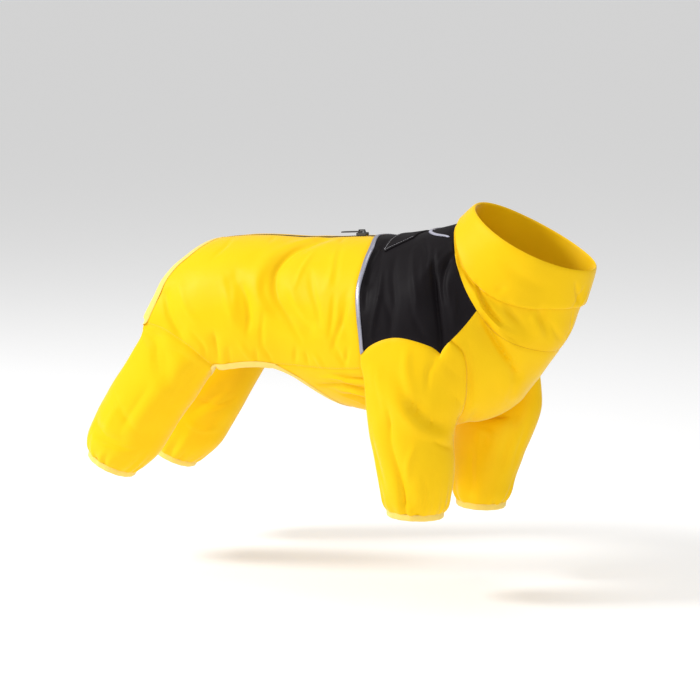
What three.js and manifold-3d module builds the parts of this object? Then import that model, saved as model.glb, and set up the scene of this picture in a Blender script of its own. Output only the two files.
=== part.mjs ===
// Raincoat for a four-legged wearer, in millimetres, in the pose in which it is worn.
// The origin is the inside of the yoke over the withers. +X points to the head, +Y to the wearer's left, +Z up.
import * as THREE from 'three';
import Module from 'manifold-3d';

const wasm = await Module();
wasm.setup();

// Driving dimensions
const CLOTH = 1.4;
const SEAM_GAP = 0.3;
const TRIM_GAP = 0.45;
const BINDING_WIDTH = 6;
const BINDING_PROUD = 0.5;
const ZIP_OPENING_HALF = 4.6;
const ZIP_TAPE_HALF = 4.3;
const ZIP_CHAIN_HALF = 2.4;
const ZIP_TAPE = 1.1;
const ZIP_CHAIN = 2.8;
const REAR_STRIP_WIDTH = 5.5;
const NECK_STRIP_WIDTH = 4.5;
const STRIP = 0.8;
const STRIP_LIFT = 0.7;
const PATCH_LIFT = 0.5;
const SLIDER_STATION = 3.88;
const CUFF_WALL = 1.8;

// Sections of the trunk from the rump to the collar's rim, numbered 0, 1, 2 ... as "stations".
// Each gives the inside of the cloth on the back line, at its widest, and on the belly or throat line.
const TRUNK = [
  { name: 'rump', backX: -304, backZ: -38, sideX: -314, sideZ: -112, half: 80, bellyX: -322, bellyZ: -200 },
  { name: 'croup', backX: -262, backZ: -22, sideX: -268, sideZ: -106, half: 88, bellyX: -272, bellyZ: -198 },
  { name: 'loin', backX: -205, backZ: -15, sideX: -208, sideZ: -98, half: 90, bellyX: -210, bellyZ: -186 },
  { name: 'waist', backX: -140, backZ: -14, sideX: -140, sideZ: -98, half: 87, bellyX: -140, bellyZ: -184 },
  { name: 'ribs', backX: -78, backZ: -10, sideX: -74, sideZ: -102, half: 92, bellyX: -70, bellyZ: -195 },
  { name: 'shoulder', backX: -34, backZ: -7, sideX: -20, sideZ: -104, half: 95, bellyX: -8, bellyZ: -201 },
  { name: 'withers', backX: 0, backZ: 0, sideX: 30, sideZ: -92, half: 92, bellyX: 74, bellyZ: -190 },
  { name: 'neck', backX: 27, backZ: 8, sideX: 72, sideZ: -57, half: 72, bellyX: 140, bellyZ: -117 },
  { name: 'fold', backX: 38, backZ: 15, sideX: 86, sideZ: -48, half: 62, bellyX: 161, bellyZ: -73 },
  { name: 'rim', backX: 54, backZ: 31, sideX: 115, sideZ: -3, half: 61, bellyX: 176, bellyZ: -31 },
];

// Folds in the trunk's cloth: a path of [station, degrees from the back line, minus on the right],
// how far the cloth moves out (a ridge) or in (a trough), and how wide that is.
const FOLDS = [
  { path: [[3.25, -12], [2.85, -41], [2.84, -58], [3.07, -75], [3.58, -87]], out: -3.4, width: 10 },
  { path: [[3.05, -15], [2.6, -42], [2.55, -60], [2.7, -78]], out: 2.2, width: 11 },
  { path: [[2.11, -60], [2.38, -72], [2.48, -88]], out: -2.6, width: 10 },
  { path: [[0.65, -67], [0.94, -82], [1.16, -94]], out: -2.4, width: 9 },
  { path: [[1.85, -104], [1.74, -122]], out: -2, width: 7 },
  { path: [[6.9, -58], [6.65, -63], [6.45, -73], [6.35, -85], [6.18, -103]], out: -3.6, width: 8 },
  { path: [[6.75, -52], [6.3, -60], [6.1, -74]], out: 2.4, width: 10 },
  { path: [[4.68, -24], [4.79, -38], [4.81, -54]], out: -2.8, width: 8 },
  { path: [[6.86, -112], [6.76, -126], [6.7, -138], [6.6, -152]], out: -3, width: 9 },
  { path: [[6.9, -140], [6.5, -158], [6.25, 176]], out: 2.4, width: 14 },
  { path: [[3.4, 20], [3.05, 48], [2.95, 70], [3.3, 86]], out: -3, width: 10 },
  { path: [[2.3, 40], [2.1, 64], [2.3, 84]], out: 2.2, width: 11 },
  { path: [[1.2, 62], [1.0, 80], [1.25, 95]], out: -2.6, width: 10 },
  { path: [[6.8, 55], [6.5, 68], [6.35, 88]], out: -3.2, width: 8 },
  { path: [[4.75, 30], [4.85, 50]], out: -2.4, width: 8 },
  { path: [[6.8, 118], [6.65, 138], [6.45, 156]], out: -2.8, width: 9 },
];

// Seams and edges of the right half, as paths of [station, degrees].
const PATHS = {
  yokeRear: [[4.41, -22], [4.48, -42], [4.49, -61], [4.56, -77], [4.6, -88], [4.6, -100]],
  sleeveCap: [[4.6, -100], [4.86, -93.5], [5.18, -90], [5.49, -90], [5.8, -94], [6.04, -100.5], [6.14, -108]],
  capToArmhole: [[6.14, -108], [6.25, -105.2], [6.36, -104]],
  armholeToNeck: [[6.36, -104], [6.62, -103], [6.94, -101]],
  armholeFront: [[6.36, -104], [6.4, -113], [6.34, -121], [6.17, -132], [6.0, -141], [5.75, -151], [5.4, -156]],
  armholeUnder: [[5.4, -156], [5.05, -151], [4.8, -139], [4.64, -124], [4.58, -110]],
  armholeRear: [[4.58, -110], [4.57, -105], [4.6, -100]],
  neckBack: [[7.15, 0], [7.45, -24], [7.55, -42], [7.3, -64], [7.06, -84], [6.94, -101]],
  neckSide: [[6.94, -101], [6.87, -118], [6.94, -142], [6.97, -154]],
  neckFront: [[6.97, -154], [6.99, -167], [7, -180]],
  chestToBelly: [[5.4, -156], [5.22, -168], [5.15, -180]],
  sideSeam: [[4.58, -110], [3.67, -117], [2.83, -122]],
  bellyEdge: [[2.83, -122], [2.57, -121.5], [2.25, -123], [1.95, -125], [1.7, -125]],
  bellyRear: [[2.83, -122], [3.05, -127.5], [3.25, -134], [3.5, -147], [3.68, -164], [3.72, -180]],
  legSeam: [[1.7, -125], [1.43, -110], [1.15, -102], [0.77, -94], [0.14, -88]],
  rumpEdge: [[0.98, -15], [0.8, -33], [0.61, -42], [0.47, -53], [0.36, -70], [0.14, -88]],
};
const ZIP_FRONT_STATION = 4.22;
const ZIP_REAR_STATION = 1.04;

// Points along each path. Pieces that share a seam share these points.
const STEPS = {
  yokeRear: 9, sleeveCap: 8, capToArmhole: 2, armholeToNeck: 7, armholeFront: 8, armholeUnder: 6, armholeRear: 2,
  neckBack: 10, neckSide: 8, neckFront: 8, chestToBelly: 8, sideSeam: 9, bellyEdge: 6, bellyRear: 14, legSeam: 9, rumpEdge: 11,
  zip: 24, innerThigh: 19,
};

// The free edge over the right inner thigh, from the belly edge back to the rump.
const INNER_THIGH = [[-246, -50, -163], [-276, -38, -163], [-303, -49, -142]];

// Rings of the limbs below their seams: centre, half sizes along and across, and how far the front dips.
const LIMBS = {
  front_sleeve_right: [
    { x: 5, y: -64, z: -206, long: 45, deep: 35, dip: 0 },
    { x: 8, y: -61, z: -242, long: 42, deep: 33, dip: 0 },
    { x: 8, y: -59, z: -265, long: 38, deep: 31, dip: 0 },
    { x: 7, y: -57, z: -281, long: 34, deep: 28, dip: 0 },
    { x: 6, y: -56, z: -289, long: 29, deep: 24, dip: 0 },
  ],
  front_sleeve_left: [
    { x: 40, y: 64, z: -208, long: 46, deep: 35, dip: 2 },
    { x: 36, y: 61, z: -245, long: 40, deep: 33, dip: 2 },
    { x: 33, y: 59, z: -269, long: 35, deep: 31, dip: 2 },
    { x: 32, y: 57, z: -288, long: 31, deep: 28, dip: 2 },
    { x: 32, y: 56, z: -297, long: 25.5, deep: 24, dip: 2 },
  ],
  hind_sleeve_right: [
    { x: -314, y: -60, z: -190, long: 47.5, deep: 32, dip: 12 },
    { x: -338, y: -59, z: -225, long: 46.5, deep: 32, dip: 9 },
    { x: -352, y: -58, z: -248, long: 43, deep: 31, dip: 12 },
    { x: -362, y: -58, z: -262, long: 35, deep: 27, dip: 18 },
    { x: -367, y: -58, z: -269, long: 28, deep: 23, dip: 24 },
  ],
  hind_sleeve_left: [
    { x: -307, y: 60, z: -194, long: 47.5, deep: 32, dip: 12 },
    { x: -328, y: 59, z: -232, long: 46.5, deep: 32, dip: 9 },
    { x: -342, y: 58, z: -257, long: 43, deep: 31, dip: 12 },
    { x: -352, y: 58, z: -271, long: 35, deep: 27, dip: 18 },
    { x: -357, y: 58, z: -278, long: 28, deep: 23, dip: 24 },
  ],
};
// Rows of points down a limb: 0 is the seam, 1 just below it and 2 the first ring. Gathers stand out over the cuff.
const LIMB_ROWS = [
  { at: 0, gather: 0 }, { at: 1, gather: 0 }, { at: 1.33, gather: 0 }, { at: 1.67, gather: 0 },
  { at: 2, gather: 0 }, { at: 2.5, gather: 0 }, { at: 3, gather: 0 }, { at: 4, gather: 0.3 },
  { at: 5, gather: 0.8 }, { at: 6, gather: 0.5 },
];
const LIMB_START = 6;
// How far a front sleeve springs out from the trunk along each part of its seam: 0 lies flat, 1 stands square.
const SLEEVE_SPRING = { sleeveCap: 0.3, capToArmhole: 0.5, armholeFront: 0.6, armholeUnder: 0.6, armholeRear: 0.4 };
const CUFF_DEPTH = 6;

// Folds of the limbs: points in space along each, how far the cloth moves out, and the width.
const LIMB_FOLDS = {
  front_sleeve_right: [
    { path: [[-21, -97, -140], [-4, -100, -165], [18, -101, -183], [42, -97, -198]], out: 3, width: 9 },
    { path: [[26, -98, -170], [38, -95, -182], [50, -85, -190]], out: -4, width: 9 },
    { path: [[-8, -99, -194], [-1, -96, -226], [8, -92, -249], [12, -87, -272]], out: -2.6, width: 8 },
    { path: [[-37, -70, -180], [-36, -66, -215], [-32, -62, -246]], out: -2.2, width: 9 },
  ],
  front_sleeve_left: [
    { path: [[84, 76, -160], [90, 66, -182]], out: 12, width: 28 },
    { path: [[10, 96, -150], [32, 99, -178], [60, 92, -196]], out: 2.8, width: 10 },
    { path: [[60, 88, -215], [56, 84, -245], [48, 80, -272]], out: -2.4, width: 8 },
  ],
  hind_sleeve_right: [
    { path: [[-292, -90, -122], [-280, -92, -145], [-276, -92, -168]], out: -2.6, width: 9 },
    { path: [[-262, -88, -150], [-290, -91, -185], [-318, -91, -222]], out: 2.4, width: 12 },
    { path: [[-372, -80, -226], [-356, -86, -236], [-338, -88, -240]], out: -2, width: 8 },
  ],
  hind_sleeve_left: [
    { path: [[-285, 90, -125], [-278, 92, -150], [-284, 92, -176]], out: -2.6, width: 9 },
    { path: [[-262, 88, -152], [-286, 91, -190], [-312, 91, -226]], out: 2.2, width: 12 },
    { path: [[-280, 40, -196], [-300, 32, -212], [-322, 34, -226]], out: -2.2, width: 9 },
  ],
};

// Gathers of the belly behind the sleeves: the wave's height on each row, counted from the sleeve and chest seams.
const BELLY_GATHERS = [0, 1.6, 1.8, 1.4, 0.8, 0.4];

// The collar is one piece folded over at the rim. Its closed profile runs from the neck seam (up 0) past the
// turned-down edge (up 1) to the rim (up 2), each point standing "out" from the inside of the neck.
const COLLAR_PROFILE = [
  { up: 0, out: CLOTH }, { up: 0.5, out: CLOTH }, { up: 1, out: CLOTH }, { up: 1.45, out: CLOTH },
  { up: 1.84, out: CLOTH }, { up: 1.86, out: 2.2 }, { up: 1.45, out: 2.7 }, { up: 1, out: 2.9 },
  { up: 0.98, out: 4.6 }, { up: 1.15, out: 5 }, { up: 1.45, out: 4.6 }, { up: 1.75, out: 4 },
  { up: 1.95, out: 3 }, { up: 2, out: 1.5 }, { up: 1.96, out: 0.1 }, { up: 1.84, out: 0 },
  { up: 1.45, out: 0 }, { up: 1, out: 0 }, { up: 0.5, out: 0 }, { up: 0, out: 0 },
];

const COLOURS = {
  cloth: new THREE.MeshStandardMaterial({ color: 0xfdd616, roughness: 0.55, metalness: 0 }),
  yoke: new THREE.MeshStandardMaterial({ color: 0x28242a, roughness: 0.6, metalness: 0 }),
  binding: new THREE.MeshStandardMaterial({ color: 0xffe27a, roughness: 0.8, metalness: 0 }),
  reflective: new THREE.MeshStandardMaterial({ color: 0xb9b8cc, roughness: 0.35, metalness: 0.4 }),
  zip: new THREE.MeshStandardMaterial({ color: 0x2b2a2c, roughness: 0.5, metalness: 0.1 }),
  slider: new THREE.MeshStandardMaterial({ color: 0x232325, roughness: 0.4, metalness: 0.6 }),
};

const coat = new THREE.Group();
const toRadians = THREE.MathUtils.degToRad;
const toDegrees = THREE.MathUtils.radToDeg;

function vector(x, y, z) {
  return new THREE.Vector3(x, y, z);
}

function catmullRom(a, b, c, d, t) {
  return 0.5 * (2 * b + (c - a) * t + (2 * a - 5 * b + 4 * c - d) * t * t + (3 * b - a - 3 * c + d) * t ** 3);
}

// The trunk's section at any station, between the rows of its table.
function sectionAt(station) {
  const last = TRUNK.length - 1;
  const index = Math.min(Math.max(Math.floor(station), 0), last - 1);
  const t = station - index;
  const row = {};
  for (const column of ['backX', 'backZ', 'sideX', 'sideZ', 'half', 'bellyX', 'bellyZ']) {
    const at = (i) => TRUNK[i][column];
    const before = index > 0 ? at(index - 1) : 2 * at(0) - at(1);
    const after = index + 2 <= last ? at(index + 2) : 2 * at(last) - at(last - 1);
    row[column] = catmullRom(before, at(index), at(index + 1), after, t);
  }
  return row;
}

// A point of the trunk's inside before any fold: degrees run round the section from the back line.
function smoothTrunk(station, degrees) {
  const s = sectionAt(station);
  const c = Math.cos(toRadians(degrees));
  const bendX = (s.backX + s.bellyX) / 2 - s.sideX;
  const bendZ = (s.backZ + s.bellyZ) / 2 - s.sideZ;
  return vector(
    s.sideX + (s.backX - s.bellyX) / 2 * c + bendX * c * c,
    s.half * Math.sin(toRadians(degrees)),
    s.sideZ + (s.backZ - s.bellyZ) / 2 * c + bendZ * c * c,
  );
}

function trunkNormal(station, degrees) {
  const along = smoothTrunk(station + 0.01, degrees).sub(smoothTrunk(station - 0.01, degrees));
  const around = smoothTrunk(station, degrees + 0.5).sub(smoothTrunk(station, degrees - 0.5));
  return along.cross(around).normalize();
}

// Each fold becomes a short chain of points in space, so that its width is a real width.
function foldChain(points) {
  const curve = new THREE.CatmullRomCurve3(points);
  return curve.getPoints(4 * (points.length - 1));
}

function foldOffset(point, folds) {
  const nearest = vector(0, 0, 0);
  const line = new THREE.Line3();
  let total = 0;
  for (const fold of folds) {
    let gap = Infinity;
    for (let i = 0; i + 1 < fold.chain.length; i += 1) {
      line.set(fold.chain[i], fold.chain[i + 1]).closestPointToPoint(point, true, nearest);
      gap = Math.min(gap, nearest.distanceTo(point));
    }
    total += fold.out * Math.exp(-((gap / fold.width) ** 2));
  }
  return total;
}

const trunkFolds = FOLDS.map((fold) => ({
  ...fold,
  chain: foldChain(fold.path.map(([station, degrees]) => smoothTrunk(station, degrees))),
}));

function trunkPoint(station, degrees, out = 0) {
  const point = smoothTrunk(station, degrees);
  const moved = foldOffset(point, trunkFolds) + out;
  return point.addScaledVector(trunkNormal(station, degrees), moved);
}

// A path through [station, degrees] points, cut into equal lengths of cloth.
function evenPath(points, steps) {
  const perStation = 50;
  const perDegree = 1.6;
  const curve = new THREE.CatmullRomCurve3(points.map(([s, d]) => vector(s * perStation, d * perDegree, 0)));
  const fine = curve.getPoints(240).map((v) => [v.x / perStation, v.y / perDegree]);
  const lengths = [0];
  for (let i = 1; i < fine.length; i += 1) {
    lengths.push(lengths[i - 1] + smoothTrunk(...fine[i]).distanceTo(smoothTrunk(...fine[i - 1])));
  }
  const total = lengths[lengths.length - 1];
  const path = [];
  let i = 0;
  for (let step = 0; step <= steps; step += 1) {
    const wanted = total * step / steps;
    while (i < fine.length - 2 && lengths[i + 1] < wanted) i += 1;
    const t = (wanted - lengths[i]) / (lengths[i + 1] - lengths[i]);
    path.push([fine[i][0] + (fine[i + 1][0] - fine[i][0]) * t, fine[i][1] + (fine[i + 1][1] - fine[i][1]) * t]);
  }
  path[0] = points[0];
  path[steps] = points[points.length - 1];
  return path;
}

function besideZip(station, half = ZIP_OPENING_HALF) {
  return [station, -toDegrees(Math.asin(half / sectionAt(station).half))];
}

PATHS.yokeRear.unshift(besideZip(ZIP_FRONT_STATION));
PATHS.rumpEdge.unshift(besideZip(ZIP_REAR_STATION));
const paths = {};
for (const [name, points] of Object.entries(PATHS)) paths[name] = evenPath(points, STEPS[name]);
paths.neckFront = joined(paths.neckSide, paths.neckFront);
paths.zip = evenPath([ZIP_REAR_STATION, 2, 3, ZIP_FRONT_STATION].map((s) => besideZip(s)), STEPS.zip);

const reversed = (path) => [...path].reverse();
const mirrored = (path) => path.map(([station, degrees]) => [station, -degrees]);
const mirroredBelow = (path) => path.map(([station, degrees]) => [station, -360 - degrees]);

function joined(...parts) {
  return parts.reduce((whole, part) => [...whole, ...part.slice(1)]);
}

// Fills the space between four edges. South and north run from west to east, west and east from south to north.
function patchBetween({ south, north, west, east }) {
  const columns = south.length - 1;
  const rows = west.length - 1;
  const grid = [];
  for (let i = 0; i <= columns; i += 1) {
    const u = i / columns;
    grid.push([]);
    for (let j = 0; j <= rows; j += 1) {
      const v = j / rows;
      grid[i].push([0, 1].map((k) => (1 - v) * south[i][k] + v * north[i][k] + (1 - u) * west[j][k] + u * east[j][k]
        - (1 - u) * ((1 - v) * south[0][k] + v * north[0][k])
        - u * ((1 - v) * south[columns][k] + v * north[columns][k])));
    }
  }
  return grid;
}

function gridNormals(grid, wrap, core) {
  const columns = grid.length;
  const rows = grid[0].length;
  const normals = grid.map((column, i) => column.map((point, j) => {
    const before = wrap ? grid[(i + columns - 1) % columns][j] : grid[Math.max(i - 1, 0)][j];
    const after = wrap ? grid[(i + 1) % columns][j] : grid[Math.min(i + 1, columns - 1)][j];
    const across = after.clone().sub(before);
    const along = column[Math.min(j + 1, rows - 1)].clone().sub(column[Math.max(j - 1, 0)]);
    return across.cross(along).normalize();
  }));
  let outward = 0;
  grid.forEach((column, i) => column.forEach((point, j) => {
    outward += normals[i][j].dot(point.clone().sub(core(j)));
  }));
  if (outward < 0) normals.flat().forEach((normal) => normal.negate());
  return normals;
}

// Pieces that meet at a seam share their normals there, so that their walls are mitred and never cross.
const seamNormals = new Map();
const seamKey = (point) => point.toArray().map((value) => Math.round(value * 20)).join();

function addToSeams(point, normal) {
  const key = seamKey(point);
  if (!seamNormals.has(key)) seamNormals.set(key, []);
  seamNormals.get(key).push(normal);
}

function wallOffset(point, normal, wall) {
  const shared = seamNormals.get(seamKey(point)) ?? [normal];
  const mean = vector(0, 0, 0);
  for (const one of shared) mean.add(one);
  mean.normalize();
  const lean = shared.reduce((sum, one) => sum + mean.dot(one), 0) / shared.length;
  return mean.multiplyScalar(wall / Math.max(lean, 0.78));
}

const pieces = {};

function cutPiece(name, grid, { wrap = false, core }) {
  const normals = gridNormals(grid, wrap, core);
  pieces[name] = { grid, normals, wrap };
  grid.forEach((column, i) => column.forEach((point, j) => {
    const onSide = !wrap && (i === 0 || i === grid.length - 1);
    if (onSide || j === 0 || j === column.length - 1) addToSeams(point, normals[i][j]);
  }));
}

// Draws the edge of a piece back by half the seam gap, square to the edge.
function drawnBack(grid, i, j, wrap) {
  const point = grid[i][j];
  const moved = point.clone();
  const columns = grid.length;
  const rows = grid[0].length;
  const pull = (inward, beside) => {
    const edge = beside.clone().sub(point).normalize();
    const step = inward.clone().sub(point);
    step.addScaledVector(edge, -step.dot(edge));
    moved.addScaledVector(step.normalize(), SEAM_GAP / 2);
  };
  const sideways = grid[(i + 1) % columns] ?? grid[i - 1];
  const besideInRow = !wrap && i === columns - 1 ? grid[i - 1][j] : sideways[j];
  const besideInColumn = j === rows - 1 ? grid[i][j - 1] : grid[i][j + 1];
  if (j === 0) pull(grid[i][1], besideInRow);
  if (j === rows - 1) pull(grid[i][rows - 2], besideInRow);
  if (!wrap && i === 0) pull(grid[1][j], besideInColumn);
  if (!wrap && i === columns - 1) pull(grid[columns - 2][j], besideInColumn);
  return moved;
}

function closedGeometry(positions, triangles) {
  const points = [];
  for (const p of positions) points.push(p.x, p.y, p.z);
  let volume = 0;
  for (const [a, b, c] of triangles) volume += positions[a].dot(positions[b].clone().cross(positions[c]));
  const facing = volume < 0 ? triangles.map(([a, b, c]) => [a, c, b]) : triangles;
  const geometry = new THREE.BufferGeometry();
  geometry.setAttribute('position', new THREE.Float32BufferAttribute(points, 3));
  geometry.setIndex(facing.flat());
  geometry.computeVertexNormals();
  return geometry;
}

function addToCoat(name, geometry, material) {
  const mesh = new THREE.Mesh(geometry, material.clone());
  mesh.name = name;
  coat.add(mesh);
}

// A closed wall between two grids of points of the same size, split along the shorter diagonal.
function wallGeometry(inner, outer, wrap = false) {
  const columns = inner.length;
  const rows = inner[0].length;
  const positions = [...inner.flat(), ...outer.flat()];
  const low = (i, j) => (i % columns) * rows + j;
  const high = (i, j) => columns * rows + low(i, j);
  const triangles = [];
  const quad = (a, b, c, d) => {
    triangles.push([a, b, c], [a, c, d]);
  };
  const spans = wrap ? columns : columns - 1;
  for (let i = 0; i < spans; i += 1) {
    for (let j = 0; j < rows - 1; j += 1) {
      const a = outer[i][j].distanceTo(outer[(i + 1) % columns][j + 1]);
      const b = outer[(i + 1) % columns][j].distanceTo(outer[i][j + 1]);
      if (a <= b) {
        quad(high(i, j), high(i + 1, j), high(i + 1, j + 1), high(i, j + 1));
        quad(low(i + 1, j + 1), low(i + 1, j), low(i, j), low(i, j + 1));
      } else {
        quad(high(i + 1, j), high(i + 1, j + 1), high(i, j + 1), high(i, j));
        quad(low(i, j + 1), low(i + 1, j + 1), low(i + 1, j), low(i, j));
      }
    }
    quad(low(i, 0), low(i + 1, 0), high(i + 1, 0), high(i, 0));
    quad(high(i, rows - 1), high(i + 1, rows - 1), low(i + 1, rows - 1), low(i, rows - 1));
  }
  if (!wrap) {
    for (let j = 0; j < rows - 1; j += 1) {
      quad(high(0, j), high(0, j + 1), low(0, j + 1), low(0, j));
      quad(low(columns - 1, j), low(columns - 1, j + 1), high(columns - 1, j + 1), high(columns - 1, j));
    }
  }
  return closedGeometry(positions, triangles);
}

function solidOf(geometry) {
  const flat = geometry.index ? geometry.toNonIndexed() : geometry;
  const position = flat.getAttribute('position');
  const index = new Map();
  const vertices = [];
  const triangles = [];
  for (let i = 0; i < position.count; i += 1) {
    const point = [position.getX(i), position.getY(i), position.getZ(i)];
    const key = point.map((value) => Math.round(value * 1e4)).join();
    if (!index.has(key)) {
      index.set(key, index.size);
      vertices.push(...point);
    }
    triangles.push(index.get(key));
  }
  return new wasm.Manifold(new wasm.Mesh({
    numProp: 3, vertProperties: new Float32Array(vertices), triVerts: new Uint32Array(triangles),
  }));
}

function geometryOf(solid) {
  const { vertProperties, triVerts } = solid.getMesh();
  const geometry = new THREE.BufferGeometry();
  geometry.setAttribute('position', new THREE.BufferAttribute(new Float32Array(vertProperties), 3));
  geometry.setIndex(new THREE.BufferAttribute(new Uint32Array(triVerts), 1));
  geometry.computeVertexNormals();
  return geometry;
}

// The wall of a piece up to its seam lines, with a gap added on both faces.
function grownWall(name) {
  const { grid, normals, wrap } = pieces[name];
  const moved = (out) => grid.map((column, i) => column.map((point, j) => (
    point.clone().addScaledVector(wallOffset(point, normals[i][j], 1), out))));
  return solidOf(wallGeometry(moved(-TRIM_GAP), moved(CLOTH + TRIM_GAP), wrap));
}

// Trims a piece so that it stays a seam's gap away from its neighbours.
function clearOf(geometry, neighbours) {
  let solid = solidOf(geometry);
  for (const name of neighbours) solid = solid.subtract(grownWall(name)).subtract(pieces[name].solid);
  const [largest] = solid.simplify(0.02).decompose().sort((a, b) => b.volume() - a.volume());
  return geometryOf(largest);
}

function sewPiece(name, material, neighbours = []) {
  const piece = pieces[name];
  piece.inner = piece.grid.map((column, i) => column.map((point, j) => drawnBack(piece.grid, i, j, piece.wrap)));
  piece.outer = piece.inner.map((column, i) => column.map((point, j) => (
    point.clone().add(wallOffset(piece.grid[i][j], piece.normals[i][j], CLOTH)))));
  const whole = wallGeometry(piece.inner, piece.outer, piece.wrap);
  const geometry = neighbours.length > 0 ? clearOf(whole, neighbours) : whole;
  piece.solid = solidOf(geometry);
  addToCoat(name, geometry, material);
}

// A closed ring of profile points carried round a row of stations.
function sweepGeometry(rings, closedRound) {
  const size = rings[0].length;
  const positions = rings.flat();
  const triangles = [];
  const at = (i, k) => (i % rings.length) * size + (k % size);
  const spans = closedRound ? rings.length : rings.length - 1;
  for (let i = 0; i < spans; i += 1) {
    for (let k = 0; k < size; k += 1) {
      triangles.push([at(i, k), at(i + 1, k), at(i + 1, k + 1)], [at(i, k), at(i + 1, k + 1), at(i, k + 1)]);
    }
  }
  if (!closedRound) {
    const end = rings.length - 1;
    for (let k = 1; k < size - 1; k += 1) {
      triangles.push([at(0, 0), at(0, k), at(0, k + 1)], [at(end, 0), at(end, k + 1), at(end, k)]);
    }
  }
  return closedGeometry(positions, triangles);
}

const trunkCore = () => vector(-60, 0, -100);
const surface = (patch) => patch.map((column) => column.map(([station, degrees]) => trunkPoint(station, degrees)));

// Trunk panels
function cutRearBody(side, flip) {
  const edge = (path) => (flip ? mirrored(path) : path);
  const patch = patchBetween({
    south: edge(paths.zip),
    north: edge(joined(reversed(paths.legSeam), reversed(paths.bellyEdge), reversed(paths.sideSeam))),
    west: edge(paths.rumpEdge),
    east: edge(joined(paths.yokeRear, reversed(paths.armholeRear))),
  });
  cutPiece(`rear_body_${side}`, surface(patch), { core: trunkCore });
}

function cutYoke() {
  const sideEdge = joined(paths.sleeveCap, paths.capToArmhole, paths.armholeToNeck);
  const overZip = [mirrored(paths.yokeRear)[0], [ZIP_FRONT_STATION, 0], paths.yokeRear[0]];
  const patch = patchBetween({
    south: joined(reversed(mirrored(paths.yokeRear)), overZip, paths.yokeRear),
    north: joined(reversed(mirrored(paths.neckBack)), paths.neckBack),
    west: mirrored(sideEdge),
    east: sideEdge,
  });
  cutPiece('yoke', surface(patch), { core: trunkCore });
}

function cutChest() {
  const lower = joined(paths.armholeFront, paths.chestToBelly);
  const patch = patchBetween({
    south: joined(lower, reversed(mirroredBelow(lower))),
    north: joined(paths.neckFront, reversed(mirroredBelow(paths.neckFront))),
    west: paths.armholeToNeck,
    east: mirroredBelow(paths.armholeToNeck),
  });
  cutPiece('chest', surface(patch), { core: trunkCore });
}

function cutBelly() {
  const upper = joined(reversed(paths.armholeUnder), paths.chestToBelly);
  const side = reversed(paths.sideSeam);
  const patch = patchBetween({
    south: joined(paths.bellyRear, reversed(mirroredBelow(paths.bellyRear))),
    north: joined(upper, reversed(mirroredBelow(upper))),
    west: side,
    east: mirroredBelow(side),
  });
  const columns = patch.length - 1;
  const rows = patch[0].length - 1;
  const grid = patch.map((column, i) => {
    const fromSide = Math.min(i, columns - i);
    return column.map(([station, degrees], j) => {
      const wave = fromSide > 0 ? BELLY_GATHERS[rows - j] ?? 0 : 0;
      return trunkPoint(station, degrees, wave * (fromSide % 2 === 0 ? 0.5 : -0.5));
    });
  });
  cutPiece('belly', grid, { core: trunkCore });
}

// Limbs: each of the seam's points runs down through the rings to the cuff.
function ringPoint(ring, angle, shrink = 0) {
  const dip = toRadians(ring.dip);
  const along = (ring.long - shrink) * Math.cos(angle);
  return vector(
    ring.x + along * Math.cos(dip),
    ring.y + (ring.deep - shrink) * Math.sin(angle),
    ring.z - along * Math.sin(dip),
  );
}

// The angle of each point of a limb's seam, seen along the limb on its first ring.
function limbAngles(loop, ring) {
  const dip = toRadians(ring.dip);
  const alongs = loop.map((point) => point.x * Math.cos(dip) - point.z * Math.sin(dip));
  const middle = (Math.max(...alongs) + Math.min(...alongs)) / 2;
  const angles = [];
  for (const [i, point] of loop.entries()) {
    let angle = Math.atan2((point.y - ring.y) / ring.deep, (alongs[i] - middle) / ring.long);
    const previous = angles[angles.length - 1];
    if (previous !== undefined) {
      while (angle - previous > Math.PI) angle -= 2 * Math.PI;
      while (angle - previous < -Math.PI) angle += 2 * Math.PI;
    }
    angles.push(angle);
  }
  return angles;
}

function cutLimb(name, loop, starts) {
  const rings = LIMBS[name];
  const folds = LIMB_FOLDS[name].map((fold) => ({ ...fold, chain: foldChain(fold.path.map((p) => vector(...p))) }));
  const angles = limbAngles(loop, rings[0]);
  const turn = Math.sign(angles[angles.length - 1] - angles[0]);
  const even = angles.map((angle, i) => angles[0] + turn * 2 * Math.PI * i / loop.length);
  const drift = angles.reduce((sum, angle, i) => sum + angle - even[i], 0) / loop.length;
  const rails = loop.map((point, i) => {
    const onRings = rings.map((ring, r) => {
      const share = (r + 1) / rings.length;
      return ringPoint(ring, (1 - share) * angles[i] + share * (even[i] + drift));
    });
    const start = onRings[0].clone().sub(point).normalize();
    if (starts) start.add(starts[i]).normalize();
    return new THREE.CatmullRomCurve3([point, point.clone().addScaledVector(start, LIMB_START), ...onRings]);
  });
  const grid = rails.map((rail) => LIMB_ROWS.map((row) => rail.getPoint(row.at / (rings.length + 1))));
  const core = (j) => grid.reduce((sum, column) => sum.addScaledVector(column[j], 1 / grid.length), vector(0, 0, 0));
  const normals = gridNormals(grid, true, core);
  const folded = grid.map((column, i) => column.map((point, j) => {
    if (j === 0) return point;
    const wave = LIMB_ROWS[j].gather * (i % 2 === 0 ? 1 : -1);
    return point.clone().addScaledVector(normals[i][j], foldOffset(point, folds) + wave);
  }));
  cutPiece(name, folded, { wrap: true, core });
  return even.map((angle) => angle + drift);
}

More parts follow.
